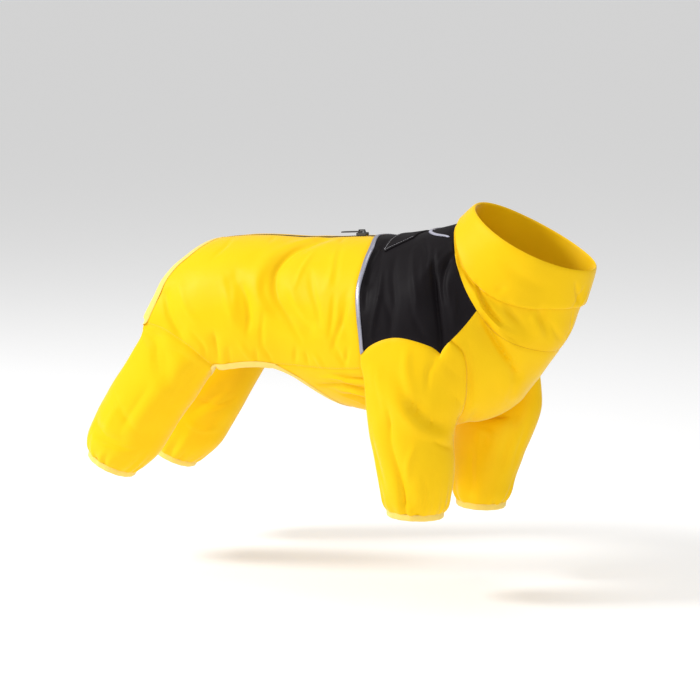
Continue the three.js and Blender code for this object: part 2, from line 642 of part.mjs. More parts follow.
// The direction in which a front sleeve leaves its seam: towards the middle of the armhole and out of the trunk.
function sleeveStarts(seam, loop) {
  const middle = vector(0, 0, 0);
  for (const point of loop) middle.addScaledVector(point, 1 / loop.length);
  const count = loop.length;
  return loop.map((point, i) => {
    const spring = [-2, -1, 0, 1, 2].reduce((sum, n) => sum + springs[(i + n + count) % count] / 5, 0);
    const normal = trunkNormal(...seam[i]);
    const inward = loop[(i + 1) % count].clone().sub(loop[(i + count - 1) % count]).cross(normal).normalize();
    if (inward.dot(middle.clone().sub(point)) < 0) inward.negate();
    const turn = spring * Math.PI / 2;
    return inward.multiplyScalar(Math.cos(turn)).addScaledVector(normal, Math.sin(turn));
  });
}

function sewCuff(name, limb, angles) {
  const end = LIMBS[limb][LIMBS[limb].length - 1];
  const down = vector(-Math.sin(toRadians(end.dip)), 0, -Math.cos(toRadians(end.dip)));
  const profile = [
    { down: SEAM_GAP + 0.2, in: 0.6 }, { down: SEAM_GAP + 0.2, in: -0.9 },
    { down: CUFF_DEPTH - 0.6, in: -0.6 }, { down: CUFF_DEPTH, in: CUFF_WALL - 0.6 },
  ];
  const rings = angles.map((angle) => profile.map((point) => (
    ringPoint(end, angle, point.in).addScaledVector(down, point.down))));
  addToCoat(name, clearOf(sweepGeometry(rings, true), [limb]), COLOURS.binding);
}

// Binding round the rear opening: a flat tape beyond the edge of each piece in turn.
function bindingFrames(piece, picks) {
  return picks.map(([i, j, inwardI, inwardJ]) => {
    const point = piece.grid[i][j];
    const out = point.clone().sub(piece.grid[inwardI][inwardJ]).normalize();
    return { point, out, lift: wallOffset(point, piece.normals[i][j], CLOTH) };
  });
}

function sewOpeningBinding(frames) {
  const merged = [];
  for (const frame of frames) {
    const last = merged[merged.length - 1];
    if (last && last.point.distanceTo(frame.point) < 0.05) {
      last.out.add(frame.out).normalize();
    } else {
      merged.push({ ...frame, out: frame.out.clone() });
    }
  }
  // Easing the directions opens the tape like a fan round the corners of the opening.
  const eased = merged.map((frame, n) => {
    const out = frame.out.clone();
    for (const step of [-2, -1, 1, 2]) {
      const beside = merged[THREE.MathUtils.clamp(n + step, 0, merged.length - 1)];
      out.addScaledVector(beside.out, 0.8 / Math.abs(step));
    }
    return out.normalize();
  });
  const rings = merged.map((frame, n) => {
    const ahead = merged[Math.min(n + 1, merged.length - 1)].point;
    const behind = merged[Math.max(n - 1, 0)].point;
    const edge = ahead.clone().sub(behind).normalize();
    const lift = frame.lift.clone();
    const wall = lift.length();
    lift.normalize();
    const out = eased[n].clone().addScaledVector(lift, -eased[n].dot(lift));
    out.addScaledVector(edge, -0.5 * out.dot(edge)).normalize();
    const at = (away, up) => frame.point.clone().addScaledVector(out, away).addScaledVector(lift, up);
    return [
      at(SEAM_GAP / 2, -BINDING_PROUD), at(BINDING_WIDTH - 0.5, -BINDING_PROUD * 0.6),
      at(BINDING_WIDTH, wall * 0.5), at(BINDING_WIDTH - 0.5, wall + BINDING_PROUD * 0.6),
      at(SEAM_GAP / 2, wall + BINDING_PROUD),
    ];
  });
  const tape = clearOf(sweepGeometry(rings, false), ['hind_sleeve_right', 'hind_sleeve_left']);
  addToCoat('opening_binding', tape, COLOURS.binding);
}

function openingFrames(side) {
  const body = pieces[`rear_body_${side}`];
  const leg = pieces[`hind_sleeve_${side}`];
  const last = body.grid[0].length - 1;
  const count = leg.grid.length;
  const rump = body.grid[0].map((point, j) => [0, j, 1, j]);
  const thigh = [];
  for (let n = 0; n <= STEPS.innerThigh; n += 1) {
    const i = (STEPS.legSeam + n) % count;
    thigh.push([i, 0, i, 1]);
  }
  const belly = [];
  for (let n = 0; n <= STEPS.bellyEdge; n += 1) belly.push([STEPS.legSeam + n, last, STEPS.legSeam + n, last - 1]);
  return [...bindingFrames(body, rump), ...bindingFrames(leg, thigh), ...bindingFrames(body, belly)];
}

// The collar: one piece of cloth carried round the neck seam and folded down at the rim.
function sewCollar() {
  const seam = joined(
    reversed(mirrored(paths.neckBack)),
    paths.neckBack,
    paths.neckFront,
    reversed(mirroredBelow(paths.neckFront)),
  ).slice(1);
  const stationAt = (start, up) => (up <= 1 ? start + (8 - start) * up : 7 + up);
  const levels = [...new Set(COLLAR_PROFILE.map((point) => point.up))].sort((a, b) => a - b);
  const grid = seam.map(([station, degrees]) => levels.map((up) => trunkPoint(stationAt(station, up), degrees)));
  const core = (j) => grid.reduce((sum, column) => sum.addScaledVector(column[j], 1 / grid.length), vector(0, 0, 0));
  const normals = gridNormals(grid, true, core);
  grid.forEach((column, i) => addToSeams(column[0], normals[i][0]));
  return () => {
    const rings = grid.map((column, i) => COLLAR_PROFILE.map((corner) => {
      const j = levels.indexOf(corner.up);
      const base = j === 0 ? drawnBack(grid, i, 0, true) : column[j].clone();
      if (j === 0) return base.addScaledVector(wallOffset(column[0], normals[i][0], CLOTH), corner.out / CLOTH);
      return base.addScaledVector(normals[i][j], corner.out);
    }));
    addToCoat('collar', sweepGeometry(rings, true), COLOURS.cloth);
  };
}

// Reflective strip along the yoke's rear edge, on the yoke's own outer points.
function sewRearStrip() {
  const { outer, normals } = pieces.yoke;
  const inner = [];
  const upper = [];
  outer.forEach((column, i) => {
    const lift = normals[i][0];
    const cell = column[1].clone().sub(column[0]);
    const ends = [0.1, REAR_STRIP_WIDTH].map((width) => (
      column[0].clone().addScaledVector(cell, Math.min(width / cell.length(), 0.98))));
    inner.push(ends.map((point) => point.clone().addScaledVector(lift, STRIP_LIFT)));
    upper.push(ends.map((point) => point.clone().addScaledVector(lift, STRIP_LIFT + STRIP)));
  });
  addToCoat('rear_strip', wallGeometry(inner, upper), COLOURS.reflective);
}

// A patch of cloth lying on the yoke over a grid of [station, degrees]: each point is found on the yoke's face.
function layOnYoke(name, patch, thickness, material) {
  const yoke = coat.getObjectByName('yoke');
  const caster = new THREE.Raycaster();
  const reach = 20;
  const face = patch.map((column) => column.map(([station, degrees]) => {
    const normal = trunkNormal(station, degrees);
    const above = smoothTrunk(station, degrees).addScaledVector(normal, reach);
    caster.set(above, normal.clone().negate());
    return { point: caster.intersectObject(yoke)[0].point, normal };
  }));
  const lifted = (out) => face.map((column) => column.map(({ point, normal }) => (
    point.clone().addScaledVector(normal, out))));
  addToCoat(name, wallGeometry(lifted(PATCH_LIFT), lifted(PATCH_LIFT + thickness)), material);
}

function sewNeckStrip() {
  const half = evenPath([[6.05, 0], [6.2, -11], [6.48, -20], [6.75, -26], [7.2, -34]], 8);
  const line = joined(reversed(mirrored(half)), half);
  const widthInStations = NECK_STRIP_WIDTH / 33;
  const patch = line.map(([station, degrees]) => [[station - widthInStations, degrees], [station, degrees]]);
  layOnYoke('neck_strip', patch, STRIP, COLOURS.reflective);
}

function sewLeashFlap() {
  const rear = { station: 4.87, degrees: 31 };
  const front = { station: 5.66, degrees: 17 };
  const across = 14;
  const along = 5;
  const patch = [];
  for (let i = 0; i <= across; i += 1) {
    patch.push([]);
    for (let j = 0; j <= along; j += 1) {
      const v = j / along;
      const corner = j === 0 ? 0.9 : 1;
      const half = (rear.degrees + (front.degrees - rear.degrees) * v) * corner;
      patch[i].push([rear.station + (front.station - rear.station) * v, half * (1 - 2 * i / across)]);
    }
  }
  layOnYoke('leash_flap', patch, CLOTH, COLOURS.yoke);
}

// Zip along the spine: a tape between the two body panels with a raised chain.
function sewZip() {
  const across = [-ZIP_TAPE_HALF, -ZIP_CHAIN_HALF, 0, ZIP_CHAIN_HALF, ZIP_TAPE_HALF];
  const heights = [ZIP_TAPE, ZIP_TAPE, ZIP_CHAIN, ZIP_TAPE, ZIP_TAPE];
  const endGap = SEAM_GAP / 50;
  const stations = paths.zip.map(([station]) => station);
  stations[0] += endGap;
  stations[stations.length - 1] -= endGap;
  const at = (y, out) => stations.map((station) => {
    const degrees = toDegrees(Math.asin(y / sectionAt(station).half));
    return smoothTrunk(station, degrees).addScaledVector(trunkNormal(station, 0), out);
  });
  const tape = wallGeometry(across.map((y) => at(y, 0)), across.map((y, k) => at(y, heights[k])));
  addToCoat('back_zip', tape, COLOURS.zip);
}

function prism(outline, depth) {
  const shape = new THREE.Shape(outline.map(([a, b]) => new THREE.Vector2(a, b)));
  return new THREE.ExtrudeGeometry(shape, { depth, bevelEnabled: false, steps: 1 });
}

// The slider sits on the chain, and its bridge carries the pull tab's cross bar.
const SLIDER = { front: 6, rear: -5, half: 4.2, channelHalf: 2.9, foot: 1.5, roof: 3.1, top: 4.7 };
const BRIDGE = { half: 1.1, foot: 4.4, shoulder: 3.4, top: 8, underTop: 6.8, insideHalf: 2.8 };
const PULL = { axis: 5.75, half: 0.55, armIn: 1.5, armOut: 3.3, hole: 5.4, length: 24, tipHalf: 3.9 };

function spineFrame(station) {
  const along = smoothTrunk(station + 0.01, 0).sub(smoothTrunk(station - 0.01, 0)).normalize();
  const up = trunkNormal(station, 0);
  const frame = new THREE.Matrix4().makeBasis(along, up.clone().cross(along), up);
  return frame.setPosition(smoothTrunk(station, 0));
}

function addSlider() {
  const { half, channelHalf, foot, roof, top, rear, front } = SLIDER;
  const body = prism([
    [-half, foot], [-channelHalf, foot], [-channelHalf, roof], [channelHalf, roof], [channelHalf, foot],
    [half, foot], [half, top - 0.6], [half - 0.8, top], [0.8 - half, top], [-half, top - 0.6],
  ], front - rear);
  // The outline lies in Y and Z and is carried along X.
  body.applyMatrix4(new THREE.Matrix4().makeBasis(vector(0, 1, 0), vector(0, 0, 1), vector(1, 0, 0)));
  body.translate(rear, 0, 0);
  const bridge = prism([
    [-BRIDGE.foot, top - 0.5], [-BRIDGE.shoulder, BRIDGE.top], [BRIDGE.shoulder, BRIDGE.top],
    [BRIDGE.foot, top - 0.5], [BRIDGE.insideHalf + 0.2, top - 0.5], [BRIDGE.insideHalf, BRIDGE.underTop],
    [-BRIDGE.insideHalf, BRIDGE.underTop], [-BRIDGE.insideHalf - 0.2, top - 0.5],
  ], 2 * BRIDGE.half);
  bridge.applyMatrix4(new THREE.Matrix4().makeBasis(vector(1, 0, 0), vector(0, 0, 1), vector(0, -1, 0)));
  bridge.translate(0, BRIDGE.half, 0);
  const slider = new THREE.Mesh(geometryOf(solidOf(body).add(solidOf(bridge))), COLOURS.slider);
  slider.name = 'zip_slider';
  return slider;
}

function addPullTab() {
  const { half, armIn, armOut, hole, length, tipHalf } = PULL;
  const outline = new THREE.Shape([
    [half, -armOut], [half, armOut], [-hole, armOut], [-hole - 3, tipHalf], [-length + 2, tipHalf],
    [-length, tipHalf - 1.6], [-length, 1.6 - tipHalf], [-length + 2, -tipHalf], [-hole - 3, -tipHalf],
    [-hole, -armOut],
  ].map(([x, y]) => new THREE.Vector2(x, y)));
  const eye = [[-half, -armIn], [-hole, -armIn], [-hole, armIn], [-half, armIn]];
  outline.holes.push(new THREE.Path(eye.map(([x, y]) => new THREE.Vector2(x, y))));
  const plate = new THREE.ExtrudeGeometry(outline, { depth: 2 * half, bevelEnabled: false, steps: 1 });
  plate.translate(0, 0, -half);
  const tab = new THREE.Mesh(plate, COLOURS.slider.clone());
  tab.name = 'zip_pull';
  tab.position.set(0, 0, PULL.axis);
  return tab;
}

function addZipHardware() {
  const hardware = new THREE.Group();
  hardware.add(addSlider(), addPullTab());
  hardware.applyMatrix4(spineFrame(SLIDER_STATION));
  coat.add(hardware);
}

// Cut every piece first, so that neighbours know each other's normals, then sew them.
cutRearBody('right', false);
cutRearBody('left', true);
cutYoke();
cutChest();
cutBelly();

const armholeParts = Object.keys(SLEEVE_SPRING);
const armhole = joined(...armholeParts.map((part) => paths[part])).slice(0, -1);
const springs = armholeParts.flatMap((part) => paths[part].slice(1).map(() => SLEEVE_SPRING[part]));
const thighCurve = new THREE.CatmullRomCurve3([
  trunkPoint(...paths.legSeam[STEPS.legSeam]),
  ...[...INNER_THIGH].reverse().map((point) => vector(...point)),
  trunkPoint(...paths.legSeam[0]),
]);
const innerThigh = thighCurve.getSpacedPoints(STEPS.innerThigh);

const cuffAngles = {};
for (const side of ['right', 'left']) {
  const degreesOf = side === 'left' ? -1 : 1;
  const sleeveSeam = armhole.map(([station, degrees]) => [station, degrees * degreesOf]);
  const sleeveLoop = sleeveSeam.map(([station, degrees]) => trunkPoint(station, degrees));
  cuffAngles[`front_${side}`] = cutLimb(`front_sleeve_${side}`, sleeveLoop, sleeveStarts(sleeveSeam, sleeveLoop));
  const legLoop = [
    ...paths.legSeam.map(([station, degrees]) => trunkPoint(station, degrees * degreesOf)),
    ...innerThigh.slice(1, -1).map((point) => vector(point.x, point.y * degreesOf, point.z)),
  ];
  cuffAngles[`hind_${side}`] = cutLimb(`hind_sleeve_${side}`, legLoop);
}
const sewCollarLater = sewCollar();

for (const name of ['rear_body_right', 'rear_body_left', 'chest', 'belly']) sewPiece(name, COLOURS.cloth);
sewPiece('yoke', COLOURS.yoke);
for (const side of ['right', 'left']) {
  sewPiece(`front_sleeve_${side}`, COLOURS.cloth, ['yoke', 'chest', 'belly', `rear_body_${side}`]);
  sewPiece(`hind_sleeve_${side}`, COLOURS.cloth, [`rear_body_${side}`]);
}
for (const [limb, angles] of Object.entries(cuffAngles)) {
  const [end, side] = limb.split('_');
  sewCuff(`${end}_cuff_${side}`, `${end}_sleeve_${side}`, angles);
}
sewCollarLater();

const bellyRow = pieces.belly.grid.map((column, i) => [i, 0, i, 1]);
sewOpeningBinding([
  ...openingFrames('right'),
  ...bindingFrames(pieces.belly, bellyRow),
  ...openingFrames('left').reverse(),
]);
sewRearStrip();
sewNeckStrip();
sewLeashFlap();
sewZip();
addZipHardware();

export default coat;
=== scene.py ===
# Looks of the raincoat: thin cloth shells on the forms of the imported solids, with creases, seams, stitches
# and trims.
# Lengths are in millimetres until a mesh is made. Right is the side the camera sees, at minus Y.
import math

import bpy
import numpy as np
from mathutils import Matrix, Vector, noise


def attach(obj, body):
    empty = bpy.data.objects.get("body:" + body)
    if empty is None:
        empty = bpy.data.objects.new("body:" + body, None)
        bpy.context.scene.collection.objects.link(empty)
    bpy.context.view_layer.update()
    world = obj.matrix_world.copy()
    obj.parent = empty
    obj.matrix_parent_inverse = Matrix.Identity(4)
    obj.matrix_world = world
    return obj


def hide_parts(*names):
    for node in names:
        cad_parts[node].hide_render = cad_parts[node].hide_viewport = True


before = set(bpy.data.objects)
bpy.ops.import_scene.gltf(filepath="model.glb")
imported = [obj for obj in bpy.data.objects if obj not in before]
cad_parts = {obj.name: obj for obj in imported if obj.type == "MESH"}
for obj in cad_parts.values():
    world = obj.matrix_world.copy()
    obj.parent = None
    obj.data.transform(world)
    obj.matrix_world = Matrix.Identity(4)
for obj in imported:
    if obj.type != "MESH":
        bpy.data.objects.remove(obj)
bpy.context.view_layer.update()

# Driving dimensions. FINE is how many points of a grid lie in each step of a seam.
FINE = 6
CLOTH = 1.4
SEAM_GAP = 0.04
SEAM_DIP = 0.5
SEAM_DIP_REACH = 1.6
SEAM_WEAR_REACH = 3.5
UNEVEN_SIZE = 26
TRUNK_UNEVEN = 0.55
LIMB_UNEVEN = 0.6
ZIP_OPENING_HALF = 4.6
REAR_STRIP_WIDTH = 5.5
NECK_STRIP_WIDTH = 4.5
NECK_STATION = 33
STRIP = 0.7
PATCH_LIFT = 0.35
LIMB_START = 6
LIMB_RAMP = 9
COIL_PITCH = 1.45
COIL_SIDE = 0.8
COIL_HEIGHT = 1.0
TOOTH = 3.0
TOOTH_RADIUS = 0.33
THREAD = 0.26
THREAD_LIFT = 0.08
SHARP_DEGREES = 50
SEAM_STITCH_INSET = 2.2
FLAP_STITCH_INSET = 3
FLOOR_Z = -385
FLOOR_REACH = 400000
# The collar's rows are this far apart, and those further out than BAND_FROM belong to its turned-down edge.
COLLAR_STEP = 0.045
BAND_FROM = 2.3
# Creases are this much deeper than their tables say, and this much steeper on one side.
CREASE_DEPTH = 1.9
STEEP = 0.75

# Inside of the cloth at each station: back line, widest place (x, z, half width) and belly or throat line.
TRUNK = np.array([
    [-304, -38, -314, -112, 80, -322, -200],
    [-262, -22, -268, -106, 88, -272, -198],
    [-205, -15, -208, -98, 90, -210, -186],
    [-140, -14, -140, -98, 87, -140, -184],
    [-78, -10, -74, -102, 92, -70, -195],
    [-34, -7, -20, -104, 95, -8, -201],
    [0, 0, 30, -92, 92, 74, -190],
    [27, 8, 72, -57, 72, 140, -117],
    [38, 15, 86, -48, 62, 161, -73],
    [54, 31, 115, -3, 61, 176, -31],
], float)

# Main folds, as in the solids. Each row is how far out, width, then station and degrees of each point.
FOLDS = [
    (-3.4, 10, 3.25, -12, 2.85, -41, 2.84, -58, 3.07, -75, 3.58, -87),
    (2.2, 11, 3.05, -15, 2.6, -42, 2.55, -60, 2.7, -78),
    (-2.6, 10, 2.11, -60, 2.38, -72, 2.48, -88),
    (-2.4, 9, 0.65, -67, 0.94, -82, 1.16, -94),
    (-2, 7, 1.85, -104, 1.74, -122),
    (-3.6, 8, 6.9, -58, 6.65, -63, 6.45, -73, 6.35, -85, 6.18, -103),
    (2.4, 10, 6.75, -52, 6.3, -60, 6.1, -74),
    (-2.8, 8, 4.68, -24, 4.79, -38, 4.81, -54),
    (-3, 9, 6.86, -112, 6.76, -126, 6.7, -138, 6.6, -152),
    (2.4, 14, 6.9, -140, 6.5, -158, 6.25, 176),
    (-3, 10, 3.4, 20, 3.05, 48, 2.95, 70, 3.3, 86),
    (2.2, 11, 2.3, 40, 2.1, 64, 2.3, 84),
    (-2.6, 10, 1.2, 62, 1.0, 80, 1.25, 95),
    (-3.2, 8, 6.8, 55, 6.5, 68, 6.35, 88),
    (-2.4, 8, 4.75, 30, 4.85, 50),
    (-2.8, 9, 6.8, 118, 6.65, 138, 6.45, 156),
]

# Finer creases of the trunk and collar, with rows of the same kind. They fade at both ends.
CREASES = [
    (-1.2, 3.2, 3.18, -16, 2.97, -26, 2.84, -37, 2.78, -49, 2.83, -62, 2.94, -73, 3.19, -86, 3.4, -99),
    (0.9, 5, 3.12, -62, 3.4, -80, 3.86, -92),
    (-0.7, 4, 2.62, -55, 2.7, -70, 3.0, -84),
    (-1.1, 3, 2.27, -64, 2.42, -75, 2.48, -86, 2.46, -98),
    (0.7, 5, 1.9, -58, 2.1, -76, 2.22, -90),
    (-1, 3, 0.61, -68, 0.81, -82, 1.01, -92, 1.21, -102),
    (0.7, 5, 0.95, -60, 1.25, -78, 1.5, -90),
    (-0.7, 3.4, 1.4, -96, 1.62, -108, 1.6, -118),
    (-0.9, 3.2, 2.09, -110, 2.01, -124),
    (0.6, 3.6, 2.3, -106, 2.45, -119),
    (-0.7, 3, 2.72, -108, 2.8, -120),
    (-0.7, 3, 3.3, -104, 3.22, -117),
    (0.6, 3, 3.62, -106, 3.74, -116),
    (-0.8, 3.4, 4.05, -98, 4.2, -112),
    (-0.6, 5, 4.3, -60, 4.2, -76, 4.34, -92),
    (0.6, 6, 3.75, -30, 3.85, -48, 3.8, -62),
    (-0.6, 4, 1.5, -14, 1.56, -26, 1.5, -38),
    (-0.5, 3.4, 2.3, -8, 2.38, -20),
    (-0.5, 3, 3.6, -7, 3.66, -18),
    (-1.5, 3.4, 4.73, -16, 4.64, -27, 4.67, -43, 4.71, -58, 4.75, -71),
    (1.1, 2.6, 5.04, -47, 5.09, -62, 4.97, -77, 4.86, -90),
    (-0.8, 4, 5.33, -36, 5.39, -52, 5.48, -68, 5.37, -82),
    (-0.9, 3.4, 4.72, -26, 4.8, -40, 4.82, -54),
    (-0.8, 4, 5.2, -64, 5.34, -78, 5.3, -88),
    (0.9, 4, 5.91, -34, 6.0, -54, 6.02, -72, 5.86, -84),
    (-0.8, 3.4, 6.13, -26, 6.35, -42, 6.34, -57),
    (0.7, 3, 6.79, -81, 6.66, -90, 6.49, -99),
    (-1.8, 3.2, 6.55, -42, 6.51, -58, 6.45, -72, 6.35, -86, 6.25, -97, 6.15, -104),
    (-1.2, 3, 7.38, -51, 6.87, -59, 6.64, -71, 6.54, -82),
    (0.8, 4, 6.7, -74, 6.6, -88, 6.45, -100),
    (-0.8, 4, 6.95, -46, 6.62, -52, 6.3, -64),
    (-0.7, 4, 5.95, -70, 5.9, -84, 6.0, -96),
    (-2, 3.2, 6.9, -106, 6.82, -118, 6.73, -132, 6.65, -146, 6.56, -157),
    (-0.8, 3, 6.34, -121, 6.18, -133, 5.99, -145),
    (0.8, 4, 6.96, -112, 6.9, -126, 6.86, -140),
    (-0.8, 4.5, 6.5, -112, 6.3, -126, 6.1, -140),
    (-0.7, 5, 6.62, -150, 6.3, -166, 6.2, 174),
    (-0.9, 5, 6.05, -150, 5.75, -164, 5.6, -178),
    (0.7, 5, 5.8, -158, 5.5, -170, 5.5, 176),
    (-2.4, 3, 7.9, -84, 7.5, -91, 7.22, -100, 7.12, -108, 7.07, -118),
    (1.1, 2.6, 7.42, -68, 7.2, -86, 7.07, -101, 7, -116, 7.03, -132),
    (1.1, 5, 7.8, -84, 7.35, -92, 7.1, -100),
    (-1.5, 5, 8.06, -136, 7.84, -140, 7.56, -147, 7.3, -155),
    (1.1, 5, 8.06, -130, 7.8, -133, 7.5, -139, 7.25, -146),
    (-1.1, 5, 7.98, -110, 7.65, -117, 7.4, -126, 7.15, -138),
    (-0.45, 1.6, 7.96, -171, 7.7, -176, 7.48, -180, 7.25, -180, 7.02, -178),
    (-1, 3, 8.7, -157, 8.45, -164, 8.22, -172),
    (-0.6, 7, 8.62, -94, 8.55, -113, 8.5, -132),
    (-0.9, 3.4, 7.75, -148, 7.4, -160, 7.22, -172),
    (-0.9, 4, 7.5, -58, 7.28, -72, 7.2, -84),
    (-1, 4, 7.85, 158, 7.45, 146, 7.2, 132),
    (-1.1, 4, 7.9, 96, 7.5, 106, 7.2, 116),
    (-0.8, 3, 8.12, -166, 8.35, -170, 8.6, -172),
    (0.7, 3, 8.1, -176, 8.3, -179, 8.5, 179),
    (-0.8, 3, 8.1, 172, 8.32, 168, 8.6, 167),
    (-0.5, 4, 8.1, -100, 8.3, -104),
    (-0.6, 4, 8.1, 120, 8.4, 116),
    (-0.9, 4, 3.5, 22, 3.1, 48, 3.0, 68, 3.3, 84),
    (0.7, 5, 2.8, 50, 2.7, 66, 2.9, 80),
    (-0.9, 3.6, 1.24, 60, 1.04, 78, 1.25, 94),
    (-0.8, 3.4, 1.7, 96, 1.66, 118),
    (-0.7, 3.2, 2.2, 104, 2.3, 120),
    (-0.7, 3, 3.1, 104, 3.2, 116),
    (0.6, 3.2, 3.8, 102, 3.7, 115),
    (-0.6, 5, 4.2, 60, 4.3, 84),
    (-1.1, 4, 4.9, 50, 4.92, 74, 4.84, 90),
    (-0.8, 4, 5.4, 62, 5.5, 80),
    (-1.2, 3.6, 6.8, 54, 6.5, 68, 6.34, 88),
    (-1, 3.8, 6.9, 112, 6.7, 134, 6.5, 152),
    (-0.8, 4.5, 6.2, 120, 6.0, 142),
    (-0.7, 4, 3.42, -50, 3.55, -63, 3.7, -76, 3.78, -89),
    (-0.9, 3.2, 3.99, -66, 4, -79, 3.96, -92),
    (-1, 3.2, 4.31, -69, 4.2, -82, 4.06, -93, 3.98, -101),
    (0.7, 3.6, 3.3, -32, 3.25, -49, 3.22, -62),
    (-0.7, 4, 3.76, -25, 3.88, -44, 3.96, -57),
    (0.6, 4, 1.97, -53, 2.17, -68, 2.26, -83),
    (-0.7, 3.4, 2.74, -82, 2.7, -96, 2.69, -110),
    (-1, 2.6, 1.85, -99, 1.86, -110, 1.83, -121),
    (-0.7, 2.4, 2.57, -110, 2.53, -120),
    (-0.7, 2.4, 3.47, -106, 3.47, -116),
    (-0.9, 2.6, 4.32, -98, 4.2, -109),
    (-1.3, 2, 4.85, -117, 4.56, -117, 4.25, -118, 3.95, -119),
    (1.2, 2.2, 4.85, -121, 4.54, -121, 4.24, -122, 3.96, -121, 3.65, -124),
    (-1.6, 2.4, 4.85, -127, 4.52, -126, 4.25, -125.5, 3.94, -127, 3.55, -133),
    (1.3, 2.4, 4.9, -132, 4.5, -131, 4.2, -130, 3.9, -133),
    (-1.5, 2.6, 4.9, -138, 4.55, -137, 4.17, -136, 3.92, -138),
    (1, 3, 4.95, -146, 4.6, -144, 4.25, -143),
    (-1.3, 2, 4.85, 119, 4.54, 119, 4.2, 121, 3.9, 120),
    (1.2, 2.4, 4.85, 124, 4.5, 125, 4.2, 127, 3.7, 131),
    (-1.5, 2.4, 4.9, 131, 4.52, 131, 4.2, 132, 3.85, 136),
    (1.1, 2.8, 4.95, 140, 4.6, 139, 4.25, 138),
    (-0.8, 6, 4.4, -160, 4.1, -176, 4.3, 168),
    (0.7, 6, 4.9, 176, 4.6, 172, 4.3, 178),
]

# Seams and edges of the right half, as paths of (station, degrees).
ZIP_FRONT_STATION = 4.22
ZIP_REAR_STATION = 1.04
PATHS = {
    "yokeRear": [(4.41, -22), (4.48, -42), (4.49, -61), (4.56, -77), (4.6, -88), (4.6, -100)],
    "sleeveCap": [
        (4.6, -100), (4.86, -93.5), (5.18, -90), (5.49, -90), (5.8, -94), (6.04, -100.5), (6.14, -108),
    ],
    "capToArmhole": [(6.14, -108), (6.25, -105.2), (6.36, -104)],
    "armholeToNeck": [(6.36, -104), (6.62, -103), (6.94, -101)],
    "armholeFront": [
        (6.36, -104), (6.4, -113), (6.34, -121), (6.17, -132), (6.0, -141), (5.75, -151), (5.4, -156),
    ],
    "armholeUnder": [(5.4, -156), (5.05, -151), (4.8, -139), (4.64, -124), (4.58, -110)],
    "armholeRear": [(4.58, -110), (4.57, -105), (4.6, -100)],
    "neckBack": [(7.15, 0), (7.45, -24), (7.55, -42), (7.3, -64), (7.06, -84), (6.94, -101)],
    "neckSide": [(6.94, -101), (6.87, -118), (6.94, -142), (6.97, -154)],
    "neckFront": [(6.97, -154), (6.99, -167), (7, -180)],
    "chestToBelly": [(5.4, -156), (5.22, -168), (5.15, -180)],
    "sideSeam": [(4.58, -110), (3.67, -117), (2.83, -122)],
    "bellyEdge": [(2.83, -122), (2.57, -121.5), (2.25, -123), (1.95, -125), (1.7, -125)],
    "bellyRear": [(2.83, -122), (3.05, -127.5), (3.25, -134), (3.5, -147), (3.68, -164), (3.72, -180)],
    "legSeam": [(1.7, -125), (1.43, -110), (1.15, -102), (0.77, -94), (0.14, -88)],
    "rumpEdge": [(0.98, -15), (0.8, -33), (0.61, -42), (0.47, -53), (0.36, -70), (0.14, -88)],
}
STEPS = {
    "yokeRear": 9, "sleeveCap": 8, "capToArmhole": 2, "armholeToNeck": 7, "armholeFront": 8,
    "armholeUnder": 6, "armholeRear": 2, "neckBack": 10, "neckSide": 8, "neckFront": 8, "chestToBelly": 8,
    "sideSeam": 9, "bellyEdge": 6, "bellyRear": 14, "legSeam": 9, "rumpEdge": 11, "zip": 24, "innerThigh": 19,
}
# Stations and degrees are weighed by these when a path is drawn, to be nearly lengths.
PATH_SCALE = np.array([50, 1.6])
INNER_THIGH = [(-246, -50, -163), (-276, -38, -163), (-303, -49, -142)]

# Rings of the limbs: x, y, z, half size along, half size across, how many degrees the front dips.
LIMBS = {
    "front_sleeve_right": [
        (5, -64, -206, 45, 35, 0), (8, -61, -242, 42, 33, 0), (8, -59, -265, 38, 31, 0),
        (7, -57, -281, 34, 28, 0), (6, -56, -289, 29, 24, 0)],
    "front_sleeve_left": [
        (40, 64, -208, 46, 35, 2), (36, 61, -245, 40, 33, 2), (33, 59, -269, 35, 31, 2),
        (32, 57, -288, 31, 28, 2), (32, 56, -297, 25.5, 24, 2)],
    "hind_sleeve_right": [
        (-314, -60, -190, 47.5, 32, 12), (-338, -59, -225, 46.5, 32, 9), (-352, -58, -248, 43, 31, 12),
        (-362, -58, -262, 35, 27, 18), (-367, -58, -269, 28, 23, 24)],
    "hind_sleeve_left": [
        (-307, 60, -194, 47.5, 32, 12), (-328, 59, -232, 46.5, 32, 9), (-342, 58, -257, 43, 31, 12),
        (-352, 58, -271, 35, 27, 18), (-357, 58, -278, 28, 23, 24)],
}
SLEEVE_SPRING = {
    "sleeveCap": 0.3, "capToArmhole": 0.5, "armholeFront": 0.6, "armholeUnder": 0.6, "armholeRear": 0.4,
}

